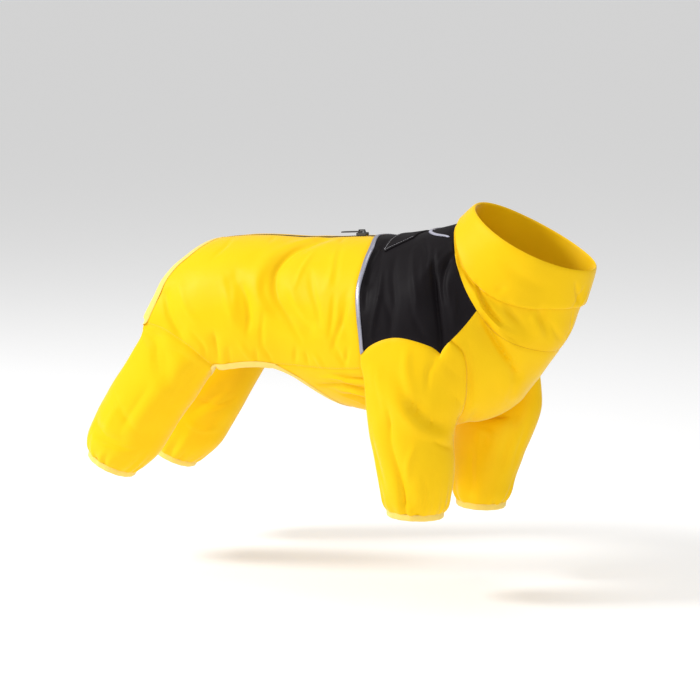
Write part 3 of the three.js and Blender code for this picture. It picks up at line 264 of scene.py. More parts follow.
# Folds and creases of the limbs. Each row is how far out, width, then x, y and z of each point of the path.
# The folds are also in the solids.
LIMB_FOLDS = {
    "front_sleeve_right": [
        (3, 9, -21, -97, -140, -4, -100, -165, 18, -101, -183, 42, -97, -198),
        (-4, 9, 26, -98, -170, 38, -95, -182, 50, -85, -190),
        (-2.6, 8, -8, -99, -194, -1, -96, -226, 8, -92, -249, 12, -87, -272),
        (-2.2, 9, -37, -70, -180, -36, -66, -215, -32, -62, -246),
    ],
    "front_sleeve_left": [
        (12, 28, 84, 76, -160, 90, 66, -182),
        (2.8, 10, 10, 96, -150, 32, 99, -178, 60, 92, -196),
        (-2.4, 8, 60, 88, -215, 56, 84, -245, 48, 80, -272),
    ],
    "hind_sleeve_right": [
        (-2.6, 9, -292, -90, -122, -280, -92, -145, -276, -92, -168),
        (2.4, 12, -262, -88, -150, -290, -91, -185, -318, -91, -222),
        (-2, 8, -372, -80, -226, -356, -86, -236, -338, -88, -240),
    ],
    "hind_sleeve_left": [
        (-2.6, 9, -285, 90, -125, -278, 92, -150, -284, 92, -176),
        (2.2, 12, -262, 88, -152, -286, 91, -190, -312, 91, -226),
        (-2.2, 9, -280, 40, -196, -300, 32, -212, -322, 34, -226),
    ],
}
LIMB_CREASES = {
    "front_sleeve_right": [
        (1.2, 5, -9, -99, -145, 1, -100, -158, 14, -100, -179, 29, -96, -194, 41, -86, -203, 52, -68, -208),
        (-1.2, 4.6, 2, -100, -140, 14, -100, -160, 24, -97, -174, 33, -94, -184, 43, -85, -190, 54,
         -70, -192),
        (-1.5, 3.6, -12, -100, -156, -6, -100, -177, -4, -94, -208, 0, -92, -231, 5, -90, -257, 5, -87, -275),
        (0.8, 3.6, 22, -96, -212, 15, -95, -231, 12, -90, -253),
        (1, 5, 15, -99, -112, 13, -99, -126, 20, -99, -157, 29, -92, -168),
        (-0.9, 3.4, 44, -91, -122, 37, -94, -132, 36, -94, -149),
        (-1, 2.4, 50, -90, -124, 55, -88, -129, 63, -82, -137, 68, -77, -143),
        (-1, 2.6, 55, -82, -159, 62, -73, -165, 64, -66, -172),
        (-1.1, 3, 38, -89, -204, 47, -79, -212, 51, -63, -218),
        (-0.8, 3.6, -22, -98, -132, -23, -98, -149, -16, -97, -177),
        (-0.9, 2.4, 7, -89, -252, 7, -88, -270, 5, -84, -286),
        (-0.7, 2.8, 30, -88, -244, 30, -85, -264, 26, -80, -284),
        (-0.9, 5, -28, -84, -204, -24, -84, -236, -16, -82, -262),
        (-0.9, 6, 6, -34, -190, 10, -30, -226, 8, -30, -254),
        (0.8, 6, -20, -40, -196, -18, -34, -230),
    ],
    "front_sleeve_left": [
        (-2, 3, 32, 34, -202, 49, 37, -200, 66, 40, -200, 80, 48, -195, 93, 62, -188),
        (0.8, 3, 42, 29, -215, 54, 30, -219, 60, 32, -228),
        (-0.8, 4, 32, 29, -236, 31, 28, -258, 33, 28, -281),
        (-0.8, 4, 87, 50, -198, 80, 48, -228, 71, 49, -258),
        (-1, 4, 14, 97, -158, 34, 98, -182, 58, 92, -200),
        (-0.9, 4, 62, 88, -214, 58, 85, -244, 50, 80, -268),
        (-0.9, 5, 20, 92, -214, 24, 90, -244, 26, 84, -270),
        (-1.3, 6, 74, 46, -196, 66, 40, -226, 58, 38, -256),
        (0.9, 6, 80, 58, -190, 74, 54, -218),
        (-1, 6, 48, 34, -204, 44, 30, -236),
        (-0.9, 6, 0, 70, -196, 2, 64, -230, 6, 60, -260),
    ],
    "hind_sleeve_right": [
        (-1.2, 3.6, -310, -83, -118, -295, -87, -131, -291, -90, -148, -287, -90, -160),
        (0.6, 4, -275, -88, -127, -254, -87, -134, -237, -79, -147),
        (-0.8, 4.5, -246, -82, -151, -262, -82, -176, -280, -80, -203),
        (-0.7, 5, -348, -85, -189, -329, -92, -215, -315, -89, -230),
        (-0.7, 3.4, -370, -87, -240, -345, -89, -247, -323, -84, -250),
        (-0.8, 4.5, -256, -86, -158, -280, -92, -190, -304, -92, -214),
        (-0.8, 5, -300, -90, -176, -322, -92, -206, -338, -90, -228),
        (0.8, 6, -330, -84, -190, -350, -86, -216, -360, -82, -236),
        (-0.9, 3.6, -372, -80, -227, -357, -86, -237, -340, -88, -242),
        (-0.8, 6, -306, -32, -190, -330, -28, -222),
        (-0.8, 6, -268, -60, -196, -292, -52, -226),
    ],
    "hind_sleeve_left": [
        (-1, 4, -286, 90, -126, -279, 92, -150, -284, 92, -174),
        (-0.8, 4.5, -256, 86, -160, -278, 92, -192, -300, 92, -218),
        (-0.8, 5, -296, 90, -180, -316, 92, -212, -330, 89, -236),
        (-1, 4, -307, 28, -211, -288, 34, -218, -270, 43, -208),
        (0.7, 4, -324, 27, -236, -309, 31, -246, -293, 42, -247),
        (-0.9, 4, -280, 40, -198, -300, 33, -213, -320, 34, -226),
        (0.9, 6, -268, 56, -190, -288, 46, -226, -306, 40, -246),
        (-0.8, 5, -340, 34, -216, -352, 36, -238),
    ],
}
CUFF_WAVES = {
    "front_sleeve_right": 15, "front_sleeve_left": 14, "hind_sleeve_right": 16, "hind_sleeve_left": 15,
}

# Height of the belly's gathers at distances behind the sleeve and chest seams.
BELLY_GATHERS = [(0, 0), (7, 1.3), (16, 1.5), (32, 1.1), (52, 0.5), (75, 0)]

# The collar's closed profile: height from the neck seam (0) past the turned-down edge (1) to the rim (2), and
# how far out from the inside of the neck.
COLLAR_PROFILE = [
    (0.004, 0.9), (0.03, 1.2), (0.08, 1.4), (0.25, 1.4), (0.5, 1.4), (0.75, 1.4), (1, 1.4), (1.45, 1.4),
    (1.84, 1.4), (1.87, 1.8), (1.86, 2.2), (1.66, 2.5), (1.45, 2.7), (1.2, 2.8), (1, 2.9), (0.965, 3.1),
    (0.95, 3.7), (0.965, 4.4), (1, 4.9), (1.06, 5.1), (1.15, 5.0), (1.28, 4.8), (1.45, 4.6), (1.6, 4.35),
    (1.75, 4), (1.87, 3.5), (1.95, 2.9), (1.99, 2.2), (2, 1.4), (1.99, 0.7), (1.96, 0.2), (1.84, 0), (1.6, 0),
    (1.45, 0), (1.2, 0), (1, 0), (0.75, 0), (0.5, 0), (0.25, 0), (0.08, 0), (0.004, 0),
]

# Across a reflective strip: share of its width, and height.
STRIP_ROWS = np.array([0.02, 0.06, 0.2, 0.5, 0.8, 0.94, 0.98])
STRIP_HEIGHTS = np.array([0.45, 0.85, 1, 1, 1, 0.85, 0.45]) * STRIP
NECK_STRIP = [(6.05, 0), (6.2, -11), (6.48, -20), (6.75, -26), (7.2, -34)]

# The leash flap: station and half width in degrees at its rear and front edges.
FLAP_REAR = (4.87, 31)
FLAP_FRONT = (5.66, 17)

# Across the zip's tape: distance from the middle, and height of its face.
ZIP_SECTION = [
    (-4.3, 0.5), (-4.0, 0.6), (-2.6, 0.6), (-2.3, 0.7), (-1.9, 0.75), (0, 0.7), (1.9, 0.75), (2.3, 0.7),
    (2.6, 0.6), (4.0, 0.6), (4.3, 0.5),
]

# How far up the turned-down edge lies at degrees from the back line, in stations.
BAND_EDGE = ([0, 40, 78, 108, 145, 180], [0, -0.06, -0.12, 0, 0.14, 0.15])

# Colours as linear red, green and blue.
YELLOW = (0.95, 0.600, 0.003)
YELLOW_DEEP = (0.90, 0.51, 0.002)
YELLOW_THREAD = (0.93, 0.62, 0.03)
BLACK = (0.0052, 0.0036, 0.0048)
BLACK_SOFT = (0.012, 0.0095, 0.012)
PALE_YELLOW = (1.0, 0.78, 0.22)
BINDING_DEEP = (0.97, 0.69, 0.11)
GREY_STRIP = (0.36, 0.36, 0.44)
GREY_THREAD = (0.42, 0.41, 0.44)
ZIP_BLACK = (0.018, 0.018, 0.019)
METAL_BLACK = (0.03, 0.03, 0.032)


def unit(vectors):
    return vectors / np.maximum(np.linalg.norm(vectors, axis=-1, keepdims=True), 1e-9)


def bell(distance, reach):
    """1 at no distance, falling to nothing at about twice the reach."""
    return np.exp(-((distance / reach) ** 2))


def ramp(share):
    """From 0 to 1 with a soft start and end."""
    return share * share * (3 - 2 * share)


def section_at(station):
    station = np.asarray(station, float)
    rows = np.vstack([2 * TRUNK[0] - TRUNK[1], TRUNK, 2 * TRUNK[-1] - TRUNK[-2]])
    index = np.clip(np.floor(station).astype(int), 0, len(TRUNK) - 2)
    t = (station - index)[..., None]
    a, b, c, d = (rows[index + k] for k in range(4))
    return 0.5 * (2 * b + (c - a) * t + (2 * a - 5 * b + 4 * c - d) * t**2 + (3 * b - a - 3 * c + d) * t**3)


def smooth_trunk(station, degrees):
    back_x, back_z, side_x, side_z, half, belly_x, belly_z = np.moveaxis(section_at(station), -1, 0)
    c = np.cos(np.radians(degrees))
    x = side_x + (back_x - belly_x) / 2 * c + ((back_x + belly_x) / 2 - side_x) * c * c
    z = side_z + (back_z - belly_z) / 2 * c + ((back_z + belly_z) / 2 - side_z) * c * c
    return np.stack([x, half * np.sin(np.radians(degrees)), z], -1)


def trunk_normal(station, degrees):
    along = smooth_trunk(station + 0.01, degrees) - smooth_trunk(station - 0.01, degrees)
    around = smooth_trunk(station, degrees + 0.5) - smooth_trunk(station, degrees - 0.5)
    return unit(np.cross(along, around))


def spline(points, shares):
    """A centripetal Catmull-Rom curve through points, at shares from 0 to 1 of its spans."""
    points = np.asarray(points, float)
    first = 2 * points[..., :1, :] - points[..., 1:2, :]
    last = 2 * points[..., -1:, :] - points[..., -2:-1, :]
    knots = np.concatenate([first, points, last], axis=-2)
    place = np.asarray(shares, float) * (points.shape[-2] - 1)
    index = np.minimum(place.astype(int), points.shape[-2] - 2)
    t = (place - index)[:, None]
    p0, p1, p2, p3 = (knots[..., index + k, :] for k in range(4))
    d0, d1, d2 = (
        np.linalg.norm(b - a, axis=-1, keepdims=True) ** 0.5 for a, b in ((p0, p1), (p1, p2), (p2, p3))
    )
    m1 = ((p1 - p0) / d0 - (p2 - p0) / (d0 + d1) + (p2 - p1) / d1) * d1
    m2 = ((p2 - p1) / d1 - (p3 - p1) / (d1 + d2) + (p3 - p2) / d2) * d1
    return p1 + m1 * t + (3 * (p2 - p1) - 2 * m1 - m2) * t**2 + (2 * (p1 - p2) + m1 + m2) * t**3


def chains(rows, size, place, deeper=1):
    """The rows of a fold or crease table as (points in space, how far out, width)."""
    found = []
    for out, width, *numbers in rows:
        points = place(np.reshape(numbers, (-1, size)))
        found.append((spline(points, np.linspace(0, 1, 4 * (len(points) - 1) + 1)), deeper * out, width))
    return found


def crease_offset(points, creases, normals=None):
    """How far the creases move each point out. With normals they fade at their ends and have a steep side."""
    flat = points.reshape(-1, 3)
    total = np.zeros(len(flat))
    for chain, out, width in creases:
        reach = 3 * width + 3
        near = np.where(np.all((flat > chain.min(0) - reach) & (flat < chain.max(0) + reach), axis=1))[0]
        if len(near) == 0:
            continue
        start, step = chain[:-1], np.diff(chain, axis=0)
        rel = flat[near][:, None, :] - start[None]
        share = np.clip(np.sum(rel * step, -1) / np.sum(step * step, -1), 0, 1)
        gaps = np.linalg.norm(rel - share[..., None] * step, axis=-1)
        best = np.argmin(gaps, axis=1)
        row = np.arange(len(near))
        rise = bell(gaps[row, best], width)
        if normals is not None:
            run = (best + share[row, best]) / len(step)
            rise *= np.sin(np.pi * np.clip(0.06 + 0.88 * run, 0, 1)) ** 0.7
            side = np.sum(np.cross(unit(step)[best], rel[row, best]) * normals.reshape(-1, 3)[near], axis=1)
            rise *= 1 + STEEP * np.clip(side / width, -1.5, 1.5)
        total[near] += out * rise
    return total.reshape(points.shape[:-1])


def undulation(points, height):
    """A slow soft unevenness, the same on every run."""
    values = [noise.noise(Vector(point)) for point in points.reshape(-1, 3) / UNEVEN_SIZE]
    return height * np.array(values).reshape(points.shape[:-1])


TRUNK_FOLDS = chains(FOLDS, 2, lambda path: smooth_trunk(*path.T))
TRUNK_CREASES = chains(CREASES, 2, lambda path: smooth_trunk(*path.T), CREASE_DEPTH)


def trunk_point(station, degrees, out=0):
    point = smooth_trunk(station, degrees)
    normal = trunk_normal(station, degrees)
    moved = crease_offset(point, TRUNK_FOLDS) + crease_offset(point, TRUNK_CREASES, normal)
    moved = moved + undulation(point, TRUNK_UNEVEN) + out
    return point + normal * moved[..., None]


def run_lengths(grid, axis=0):
    """The distance of each point of a line or grid from its first point or edge, along one axis."""
    steps = np.linalg.norm(np.diff(grid, axis=axis), axis=-1)
    zero = np.zeros_like(np.take(steps, [0], axis=axis))
    return np.concatenate([zero, np.cumsum(steps, axis=axis)], axis=axis)


def values_at(wanted, lengths, values):
    return np.stack([np.interp(wanted, lengths, column) for column in values.T], 1)


def even_path(points, steps):
    """A path through (station, degrees) points, cut into equal lengths of cloth."""
    fine = spline(np.array(points, float) * PATH_SCALE, np.linspace(0, 1, 241)) / PATH_SCALE
    lengths = run_lengths(smooth_trunk(*fine.T))
    return values_at(np.linspace(0, lengths[-1], steps + 1), lengths, fine)


def beside_zip(station):
    return (station, -math.degrees(math.asin(ZIP_OPENING_HALF / section_at(station)[4])))


def joined(*parts):
    return np.concatenate([parts[0], *[part[1:] for part in parts[1:]]])


def mirrored(path):
    return path * [1, -1]


def mirrored_below(path):
    return path * [1, -1] + [0, -360]


PATHS["yokeRear"].insert(0, beside_zip(ZIP_FRONT_STATION))
PATHS["rumpEdge"].insert(0, beside_zip(ZIP_REAR_STATION))
PATHS["zip"] = [beside_zip(s) for s in (ZIP_REAR_STATION, 2, 3, ZIP_FRONT_STATION)]
paths = {name: even_path(points, STEPS[name] * FINE) for name, points in PATHS.items()}
neck_right = joined(paths["neckSide"], paths["neckFront"])


def patch_between(south, north, west, east):
    """Fills the space between four edges. South and north run from west to east, west and east from south."""
    u = np.linspace(0, 1, len(south))[:, None, None]
    v = np.linspace(0, 1, len(west))[None, :, None]
    sides = (1 - v) * south[:, None] + v * north[:, None] + (1 - u) * west[None] + u * east[None]
    corners = (1 - u) * ((1 - v) * south[0] + v * north[0]) + u * ((1 - v) * south[-1] + v * north[-1])
    return sides - corners


def grid_normals(grid, wrap, core):
    across = np.roll(grid, -1, 0) - np.roll(grid, 1, 0) if wrap else np.gradient(grid, axis=0)
    normals = unit(np.cross(across, np.gradient(grid, axis=1)))
    return normals if np.sum(normals * (grid - core)) > 0 else -normals


def edge_distance(grid, wrap=False):
    down = run_lengths(grid, 1)
    gap = np.minimum(down, down[:, -1:] - down)
    if not wrap:
        over = run_lengths(grid)
        gap = np.minimum(gap, np.minimum(over, over[-1:] - over))
    return gap


def drawn_back(grid, wrap):
    """Each edge of the grid moved in by half the seam gap."""
    grid = grid.copy()
    half = SEAM_GAP / 2
    grid[:, 0] += unit(grid[:, 1] - grid[:, 0]) * half
    grid[:, -1] += unit(grid[:, -2] - grid[:, -1]) * half
    if not wrap:
        grid[0] += unit(grid[1] - grid[0]) * half
        grid[-1] += unit(grid[-2] - grid[-1]) * half
    return grid


materials = {}
pieces = {}


def add_object(name, data):
    thing = bpy.data.objects.new(name, data)
    bpy.context.scene.collection.objects.link(thing)
    return thing


def add_mesh(name, points, faces, material, uvs=None, wear=None):
    """A smooth piece on the coat. One with cloth coordinates keeps its sharp edges."""
    mesh = bpy.data.meshes.new(name)
    mesh.from_pydata((points / 1000).tolist(), [], faces)
    mesh.polygons.foreach_set("use_smooth", np.ones(len(mesh.polygons), bool))
    if uvs is not None:
        layer = mesh.uv_layers.new(name="cloth")
        layer.data.foreach_set("uv", (np.asarray(uvs) / 1000).astype(np.float32).ravel())
        mesh.update()
        mesh.set_sharp_from_angle(angle=math.radians(SHARP_DEGREES))
    if wear is not None:
        layer = mesh.attributes.new("wear", "FLOAT", "POINT")
        layer.data.foreach_set("value", wear.astype(np.float32).ravel())
    mesh.materials.append(materials[material])
    piece = add_object(name, mesh)
    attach(piece, "coat")
    return piece


def stand_for(node, piece, **parts):
    """Lets a piece take the place of a node, and keeps what later steps need of it."""
    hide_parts(node)
    pieces[node] = {"object": piece, **parts}


def facing_out(points, faces, uvs):
    """Turns all the faces over if their volume is negative."""
    a, b, c, d = (points[faces[:, k]] for k in range(4))
    volume = np.sum(a * np.cross(b, c)) + np.sum(a * np.cross(c, d))
    return (faces[:, ::-1], uvs[:, ::-1]) if volume < 0 else (faces, uvs)


def shell(name, inner, outer, wear, material, wrap=False):
    """A closed wall between two grids of points of the same size."""
    columns, rows = inner.shape[:2]
    spans = columns if wrap else columns - 1
    wide = run_lengths(np.concatenate([outer, outer[:1]]) if wrap else outer).mean(1)
    long = run_lengths(outer, 1).mean(0)
    ids, uvs = [], []

    def quads(corners):
        """Corners are four (i, j, side) arrays, side 1 for the outer face."""
        flat = [np.broadcast_arrays(i, j, side) for i, j, side in corners]
        ids.append(np.stack([side.ravel() * columns * rows + (i.ravel() % columns) * rows + j.ravel()
                             for i, j, side in flat], 1))
        uvs.append(np.stack([np.stack([wide[i.ravel()], long[j.ravel()]], -1) for i, j, _ in flat], 1))

    i, j = np.meshgrid(np.arange(spans), np.arange(rows - 1), indexing="ij")
    quads([(i, j, 1), (i + 1, j, 1), (i + 1, j + 1, 1), (i, j + 1, 1)])
    quads([(i, j + 1, 0), (i + 1, j + 1, 0), (i + 1, j, 0), (i, j, 0)])
    i = np.arange(spans)
    quads([(i, 0, 0), (i + 1, 0, 0), (i + 1, 0, 1), (i, 0, 1)])
    last = rows - 1
    quads([(i, last, 1), (i + 1, last, 1), (i + 1, last, 0), (i, last, 0)])
    if not wrap:
        j = np.arange(rows - 1)
        end = columns - 1
        quads([(0, j, 1), (0, j + 1, 1), (0, j + 1, 0), (0, j, 0)])
        quads([(end, j, 0), (end, j + 1, 0), (end, j + 1, 1), (end, j, 1)])
    points = np.concatenate([inner.reshape(-1, 3), outer.reshape(-1, 3)])
    faces, uvs = facing_out(points, np.concatenate(ids), np.concatenate(uvs))
    return add_mesh(name, points, faces.tolist(), material, uvs, np.tile(wear.ravel(), 2))


def sweep(name, rings, material, closed_round, wear=None):
    """A closed ring of profile points carried through a row of rings."""
    count, size = rings.shape[:2]
    spans = count if closed_round else count - 1
    i, k = (a.ravel() for a in np.meshgrid(np.arange(spans), np.arange(size), indexing="ij"))
    corners = [(i, k), (i + 1, k), (i + 1, k + 1), (i, k + 1)]
    faces = np.stack([(a % count) * size + b % size for a, b in corners], 1)
    closed = np.concatenate([rings, rings[:1]]) if closed_round else rings
    long = run_lengths(closed).mean(1)
    girth = run_lengths(np.concatenate([rings, rings[:, :1]], 1), 1).mean(0)
    uvs = np.stack([np.stack([long[a], girth[b]], -1) for a, b in corners], 1)
    points = rings.reshape(-1, 3)
    faces, uvs = facing_out(points, faces, uvs)
    faces, uvs = faces.tolist(), uvs.reshape(-1, 2).tolist()
    if not closed_round:
        flip = faces[0][0] > faces[0][1]
        ends = [list(range(size)), list(range((count - 1) * size, count * size))[::-1]]
        for end in ends:
            faces.append(end[::-1] if flip else end)
            uvs += [[0, 0]] * size
    return add_mesh(name, points, faces, material, uvs, wear)


def sew(name, grid, lift, material="cloth", wrap=False):
    """Makes one cut piece from the grid of its inside and the directions of its wall."""
    inner = drawn_back(grid, wrap)
    gap = edge_distance(inner, wrap)
    wall = CLOTH - SEAM_DIP * bell(gap, SEAM_DIP_REACH)
    outer = inner + lift * wall[..., None]
    piece = shell(name + "_cloth", inner, outer, bell(gap, SEAM_WEAR_REACH), material, wrap)
    stand_for(name, piece, grid=grid, outer=outer, lift=lift)


def sew_trunk(name, patch, material="cloth", out=0):
    station, degrees = patch[..., 0], patch[..., 1]
    sew(name, trunk_point(station, degrees, out), trunk_normal(station, degrees), material)


# Materials. Each has its weave or grain, colour variation and roughness from nodes.
def set_values(node, **values):
    for key, value in values.items():
        node.inputs[key.replace("_", " ")].default_value = value


class Nodes:
    """A short way to add nodes to a material and link them."""

    def __init__(self, name):
        self.material = bpy.data.materials.new(name)
        self.material.use_nodes = True
        self.tree = self.material.node_tree
        self.shader = self.tree.nodes["Principled BSDF"]
        self.place = self.tree.nodes.new("ShaderNodeTexCoord")
        materials[name] = self.material

    def add(self, kind, inputs, **settings):
        node = self.tree.nodes.new(kind)
        for key, value in settings.items():
            setattr(node, key, value)
        for key, value in inputs.items():
            if isinstance(value, bpy.types.NodeSocket):
                self.tree.links.new(value, node.inputs[key])
            else:
                node.inputs[key].default_value = value
        return node.outputs[0]

    def math(self, operation, a, b=0.0, c=0.0):
        return self.add("ShaderNodeMath", {0: a, 1: b, 2: c}, operation=operation)

    def times(self, a, b):
        return self.math("MULTIPLY", a, b)

    def noise(self, scale, detail=2.0, rough=0.5):
        inputs = {"Vector": self.place.outputs["Object"], "Scale": scale, "Detail": detail}
        return self.add("ShaderNodeTexNoise", {**inputs, "Roughness": rough})

    def mix(self, share, a, b):
        node = self.tree.nodes.new("ShaderNodeMix")
        node.data_type = "RGBA"
        for socket, value in zip((node.inputs[0], node.inputs[6], node.inputs[7]), (share, a, b)):
            if isinstance(value, bpy.types.NodeSocket):
                self.tree.links.new(value, socket)
            else:
                socket.default_value = (*value, 1) if isinstance(value, tuple) else value
        return node.outputs[2]

    def wave(self, part, pitch):
        coords = self.add("ShaderNodeSeparateXYZ", {0: self.place.outputs["UV"]}).node
        return self.math("SINE", self.times(coords.outputs[part], 2 * math.pi / (pitch / 1000)))

    def bump(self, height, strength, distance, below=None):
        inputs = {"Height": height, "Strength": strength, "Distance": distance / 1000}
        if below is not None:
            inputs["Normal"] = below
        return self.add("ShaderNodeBump", inputs)

    def range(self, value, low, high, start=0.3, end=0.7):
        return self.add("ShaderNodeMapRange", {0: value, 1: start, 2: end, 3: low, 4: high})

    def wear(self):
        return self.add("ShaderNodeAttribute", {}, attribute_name="wear").node.outputs["Fac"]

    def finish(self, colour, roughness, normal, **values):
        for key, value in (("Base Color", colour), ("Roughness", roughness), ("Normal", normal)):
            self.tree.links.new(value, self.shader.inputs[key])
        set_values(self.shader, **values)


def woven(name, colour, deep, pitch, rough, seam_share, **values):
    """Plain weave: two crossing threads, slow colour variation, soft handling marks and rubbed seams."""
    n = Nodes(name)
    weave = n.times(n.wave(0, pitch), n.wave(1, pitch))
    cloudy = n.range(n.noise(22, 3.0), 0.0, 1.0, 0.35, 0.7)
    rubbed = n.times(n.wear(), n.range(n.noise(160, 2.0), 0.35, 1.0))
    base = n.mix(n.times(cloudy, 0.3), colour, deep)
    base = n.mix(n.times(rubbed, seam_share), base, deep)
    base = n.mix(n.range(weave, 0.0, 0.12, -1.0, 1.0), base, deep)
    marks = n.bump(n.noise(75, 3.0, 0.55), 0.22, 0.9)
    fine = n.bump(n.noise(420, 2.0, 0.6), 0.12, 0.25, marks)
    normal = n.bump(weave, 0.18, 0.06, fine)
    roughness = n.range(n.noise(34, 3.0), rough - 0.05, rough + 0.07)
    n.finish(base, roughness, normal, **values)


def knitted(name, colour, deep):
    """Ribbed elastic knit: ribs along the tape, and small stitches along each rib."""
    n = Nodes(name)
    ribs = n.wave(1, 0.9)
    loops = n.wave(0, 0.8)
    height = n.math("ADD", n.times(ribs, 0.6), n.times(loops, 0.4))
    # Painted shade: the grooves between the ribs get the deeper colour, the rib crests a paler mix.
    base = n.mix(n.range(height, 0.0, 0.45, -1.0, 1.0), deep, colour)
    base = n.mix(n.range(n.noise(60, 3.0), 0.0, 0.35, 0.35, 0.7), base, deep)
    normal = n.bump(height, 0.5, 0.16, n.bump(n.noise(300, 2.0), 0.25, 0.3))
    n.finish(base, n.range(n.noise(80, 2.0), 0.78, 0.92), normal, Sheen_Weight=0.35, Sheen_Roughness=0.5)


def reflective_tape(name, colour):
    """Grey tape with a fine diamond print of glass beads, dulled along its edges."""
    n = Nodes(name)
    diamonds = n.times(n.wave(0, 1.3), n.wave(1, 1.3))
    beads = n.noise(2600, 1.0)
    base = n.mix(n.range(diamonds, 0.0, 0.22, -1.0, 1.0), colour, tuple(c * 0.6 for c in colour))
    base = n.mix(n.times(n.wear(), 0.4), base, tuple(c * 0.55 for c in colour))
    height = n.math("ADD", n.times(diamonds, 0.5), beads)
    normal = n.bump(height, 0.2, 0.06, n.bump(n.noise(90, 2.0), 0.15, 0.5))
    n.finish(base, n.range(n.noise(120, 3.0), 0.3, 0.46), normal, Metallic=0.35)


def thread(name, colour):
    """Sewing thread: a fine twist across each stitch."""
    n = Nodes(name)
    twist = n.noise(2200, 1.0)
    base = n.mix(n.range(n.noise(140, 2.0), 0.0, 0.5), colour, tuple(c * 0.7 for c in colour))
    n.finish(base, n.range(twist, 0.55, 0.75), n.bump(twist, 0.5, 0.08), Sheen_Weight=0.3)


def moulded(name, colour, rough, metallic):
    """Painted metal or nylon: a fine grain, small scuffs and paler rubbed edges."""
    n = Nodes(name)
    edges = n.add("ShaderNodeNewGeometry", {}).node.outputs["Pointiness"]
    rubbed = n.range(edges, 0.0, 0.5, 0.52, 0.62)
    scuffs = n.range(n.noise(700, 4.0, 0.7), 0.0, 0.5, 0.5, 0.75)
    base = n.mix(n.math("MAXIMUM", rubbed, scuffs), colour, tuple(min(c * 4 + 0.05, 1) for c in colour))
    normal = n.bump(n.noise(1500, 2.0), 0.15, 0.05)
    n.finish(base, n.range(n.noise(240, 3.0), rough - 0.06, rough + 0.12), normal, Metallic=metallic)


woven("cloth", YELLOW, YELLOW_DEEP, 0.55, 0.5, 0.45, Specular_IOR_Level=0.12, Sheen_Weight=0.32,
      Sheen_Roughness=0.25)
woven("yoke_cloth", BLACK, BLACK_SOFT, 0.6, 0.6, 0.5, Specular_IOR_Level=0.11, Sheen_Weight=0.02,
      Sheen_Roughness=0.3)
woven("zip_tape", ZIP_BLACK, BLACK_SOFT, 0.7, 0.6, 0.5, Sheen_Weight=0.1)
knitted("binding", PALE_YELLOW, BINDING_DEEP)
reflective_tape("reflective", GREY_STRIP)
reflective_tape("reflective_pale", tuple(min(1.0, c * 1.7) for c in GREY_STRIP))
thread("yellow_thread", YELLOW_THREAD)
thread("pale_thread", PALE_YELLOW)
thread("grey_thread", GREY_THREAD)
moulded("zip_coil", ZIP_BLACK, 0.34, 0.0)
moulded("zip_metal", METAL_BLACK, 0.38, 0.7)


# Trunk panels
def cut_rear_body(side, turn):
    patch = patch_between(
        south=turn(paths["zip"]),
        north=turn(joined(paths["legSeam"][::-1], paths["bellyEdge"][::-1], paths["sideSeam"][::-1])),
        west=turn(paths["rumpEdge"]),
        east=turn(joined(paths["yokeRear"], paths["armholeRear"][::-1])),
    )
    sew_trunk(f"rear_body_{side}", patch)


def cut_yoke():
    side_edge = joined(paths["sleeveCap"], paths["capToArmhole"], paths["armholeToNeck"])
    edge = paths["yokeRear"]
    over_zip = np.linspace(mirrored(edge)[0], edge[0], 2 * FINE + 1)
    patch = patch_between(
        south=joined(mirrored(edge)[::-1], over_zip, edge),
        north=joined(mirrored(paths["neckBack"])[::-1], paths["neckBack"]),
        west=mirrored(side_edge),
        east=side_edge,
    )
    sew_trunk("yoke", patch, "yoke_cloth")


def cut_chest():
    lower = joined(paths["armholeFront"], paths["chestToBelly"])
    patch = patch_between(
        south=joined(lower, mirrored_below(lower)[::-1]),
        north=joined(neck_right, mirrored_below(neck_right)[::-1]),
        west=paths["armholeToNeck"],
        east=mirrored_below(paths["armholeToNeck"]),
    )
    sew_trunk("chest", patch)


def cut_belly():
    upper = joined(paths["armholeUnder"][::-1], paths["chestToBelly"])
    side = paths["sideSeam"][::-1]
    patch = patch_between(
        south=joined(paths["bellyRear"], mirrored_below(paths["bellyRear"])[::-1]),
        north=joined(upper, mirrored_below(upper)[::-1]),
        west=side,
        east=mirrored_below(side),
    )
    down = run_lengths(smooth_trunk(patch[..., 0], patch[..., 1]), 1)
    height = np.interp(down[:, -1:] - down, *zip(*BELLY_GATHERS))
    column = np.arange(len(patch))
    from_side = np.minimum(column, column[::-1]) / FINE
    crest = np.cos(np.pi * from_side + 0.5 * np.sin(from_side * 1.3))
    crest = crest * (0.75 + 0.25 * np.sin(from_side * 2.1)) * np.minimum(from_side / 1.5, 1)
    sew_trunk("belly", patch, out=height * crest[:, None])


# Limbs: each point of the seam runs down through the rings to the cuff.
LIMB_ROWS = np.concatenate([np.linspace(0, 1, 5)[:-1], np.linspace(1, 6, 91)])


def ring_point(ring, angle, shrink=0.0):
    x, y, z, long, deep, dip = ring
    dip = math.radians(dip)
    along = (long - shrink) * np.cos(angle)
    across = (deep - shrink) * np.sin(angle)
    return np.stack([x + along * math.cos(dip), y + across, z - along * math.sin(dip)], -1)


def limb_angles(loop, ring):
    dip = math.radians(ring[5])
    alongs = loop[:, 0] * math.cos(dip) - loop[:, 2] * math.sin(dip)
    middle = (alongs.max() + alongs.min()) / 2
    return np.unwrap(np.arctan2((loop[:, 1] - ring[1]) / ring[4], (alongs - middle) / ring[3]))


def cuff_wave(name, count):
    """The height of the gathers round a cuff, from -1 to 1, of uneven spacing."""
    u = 2 * np.pi * np.arange(count) / count
    return u, np.sin(CUFF_WAVES[name] * u + 0.7 * np.sin(2 * u + 1.1) + 0.5 * np.sin(5 * u + 0.4))


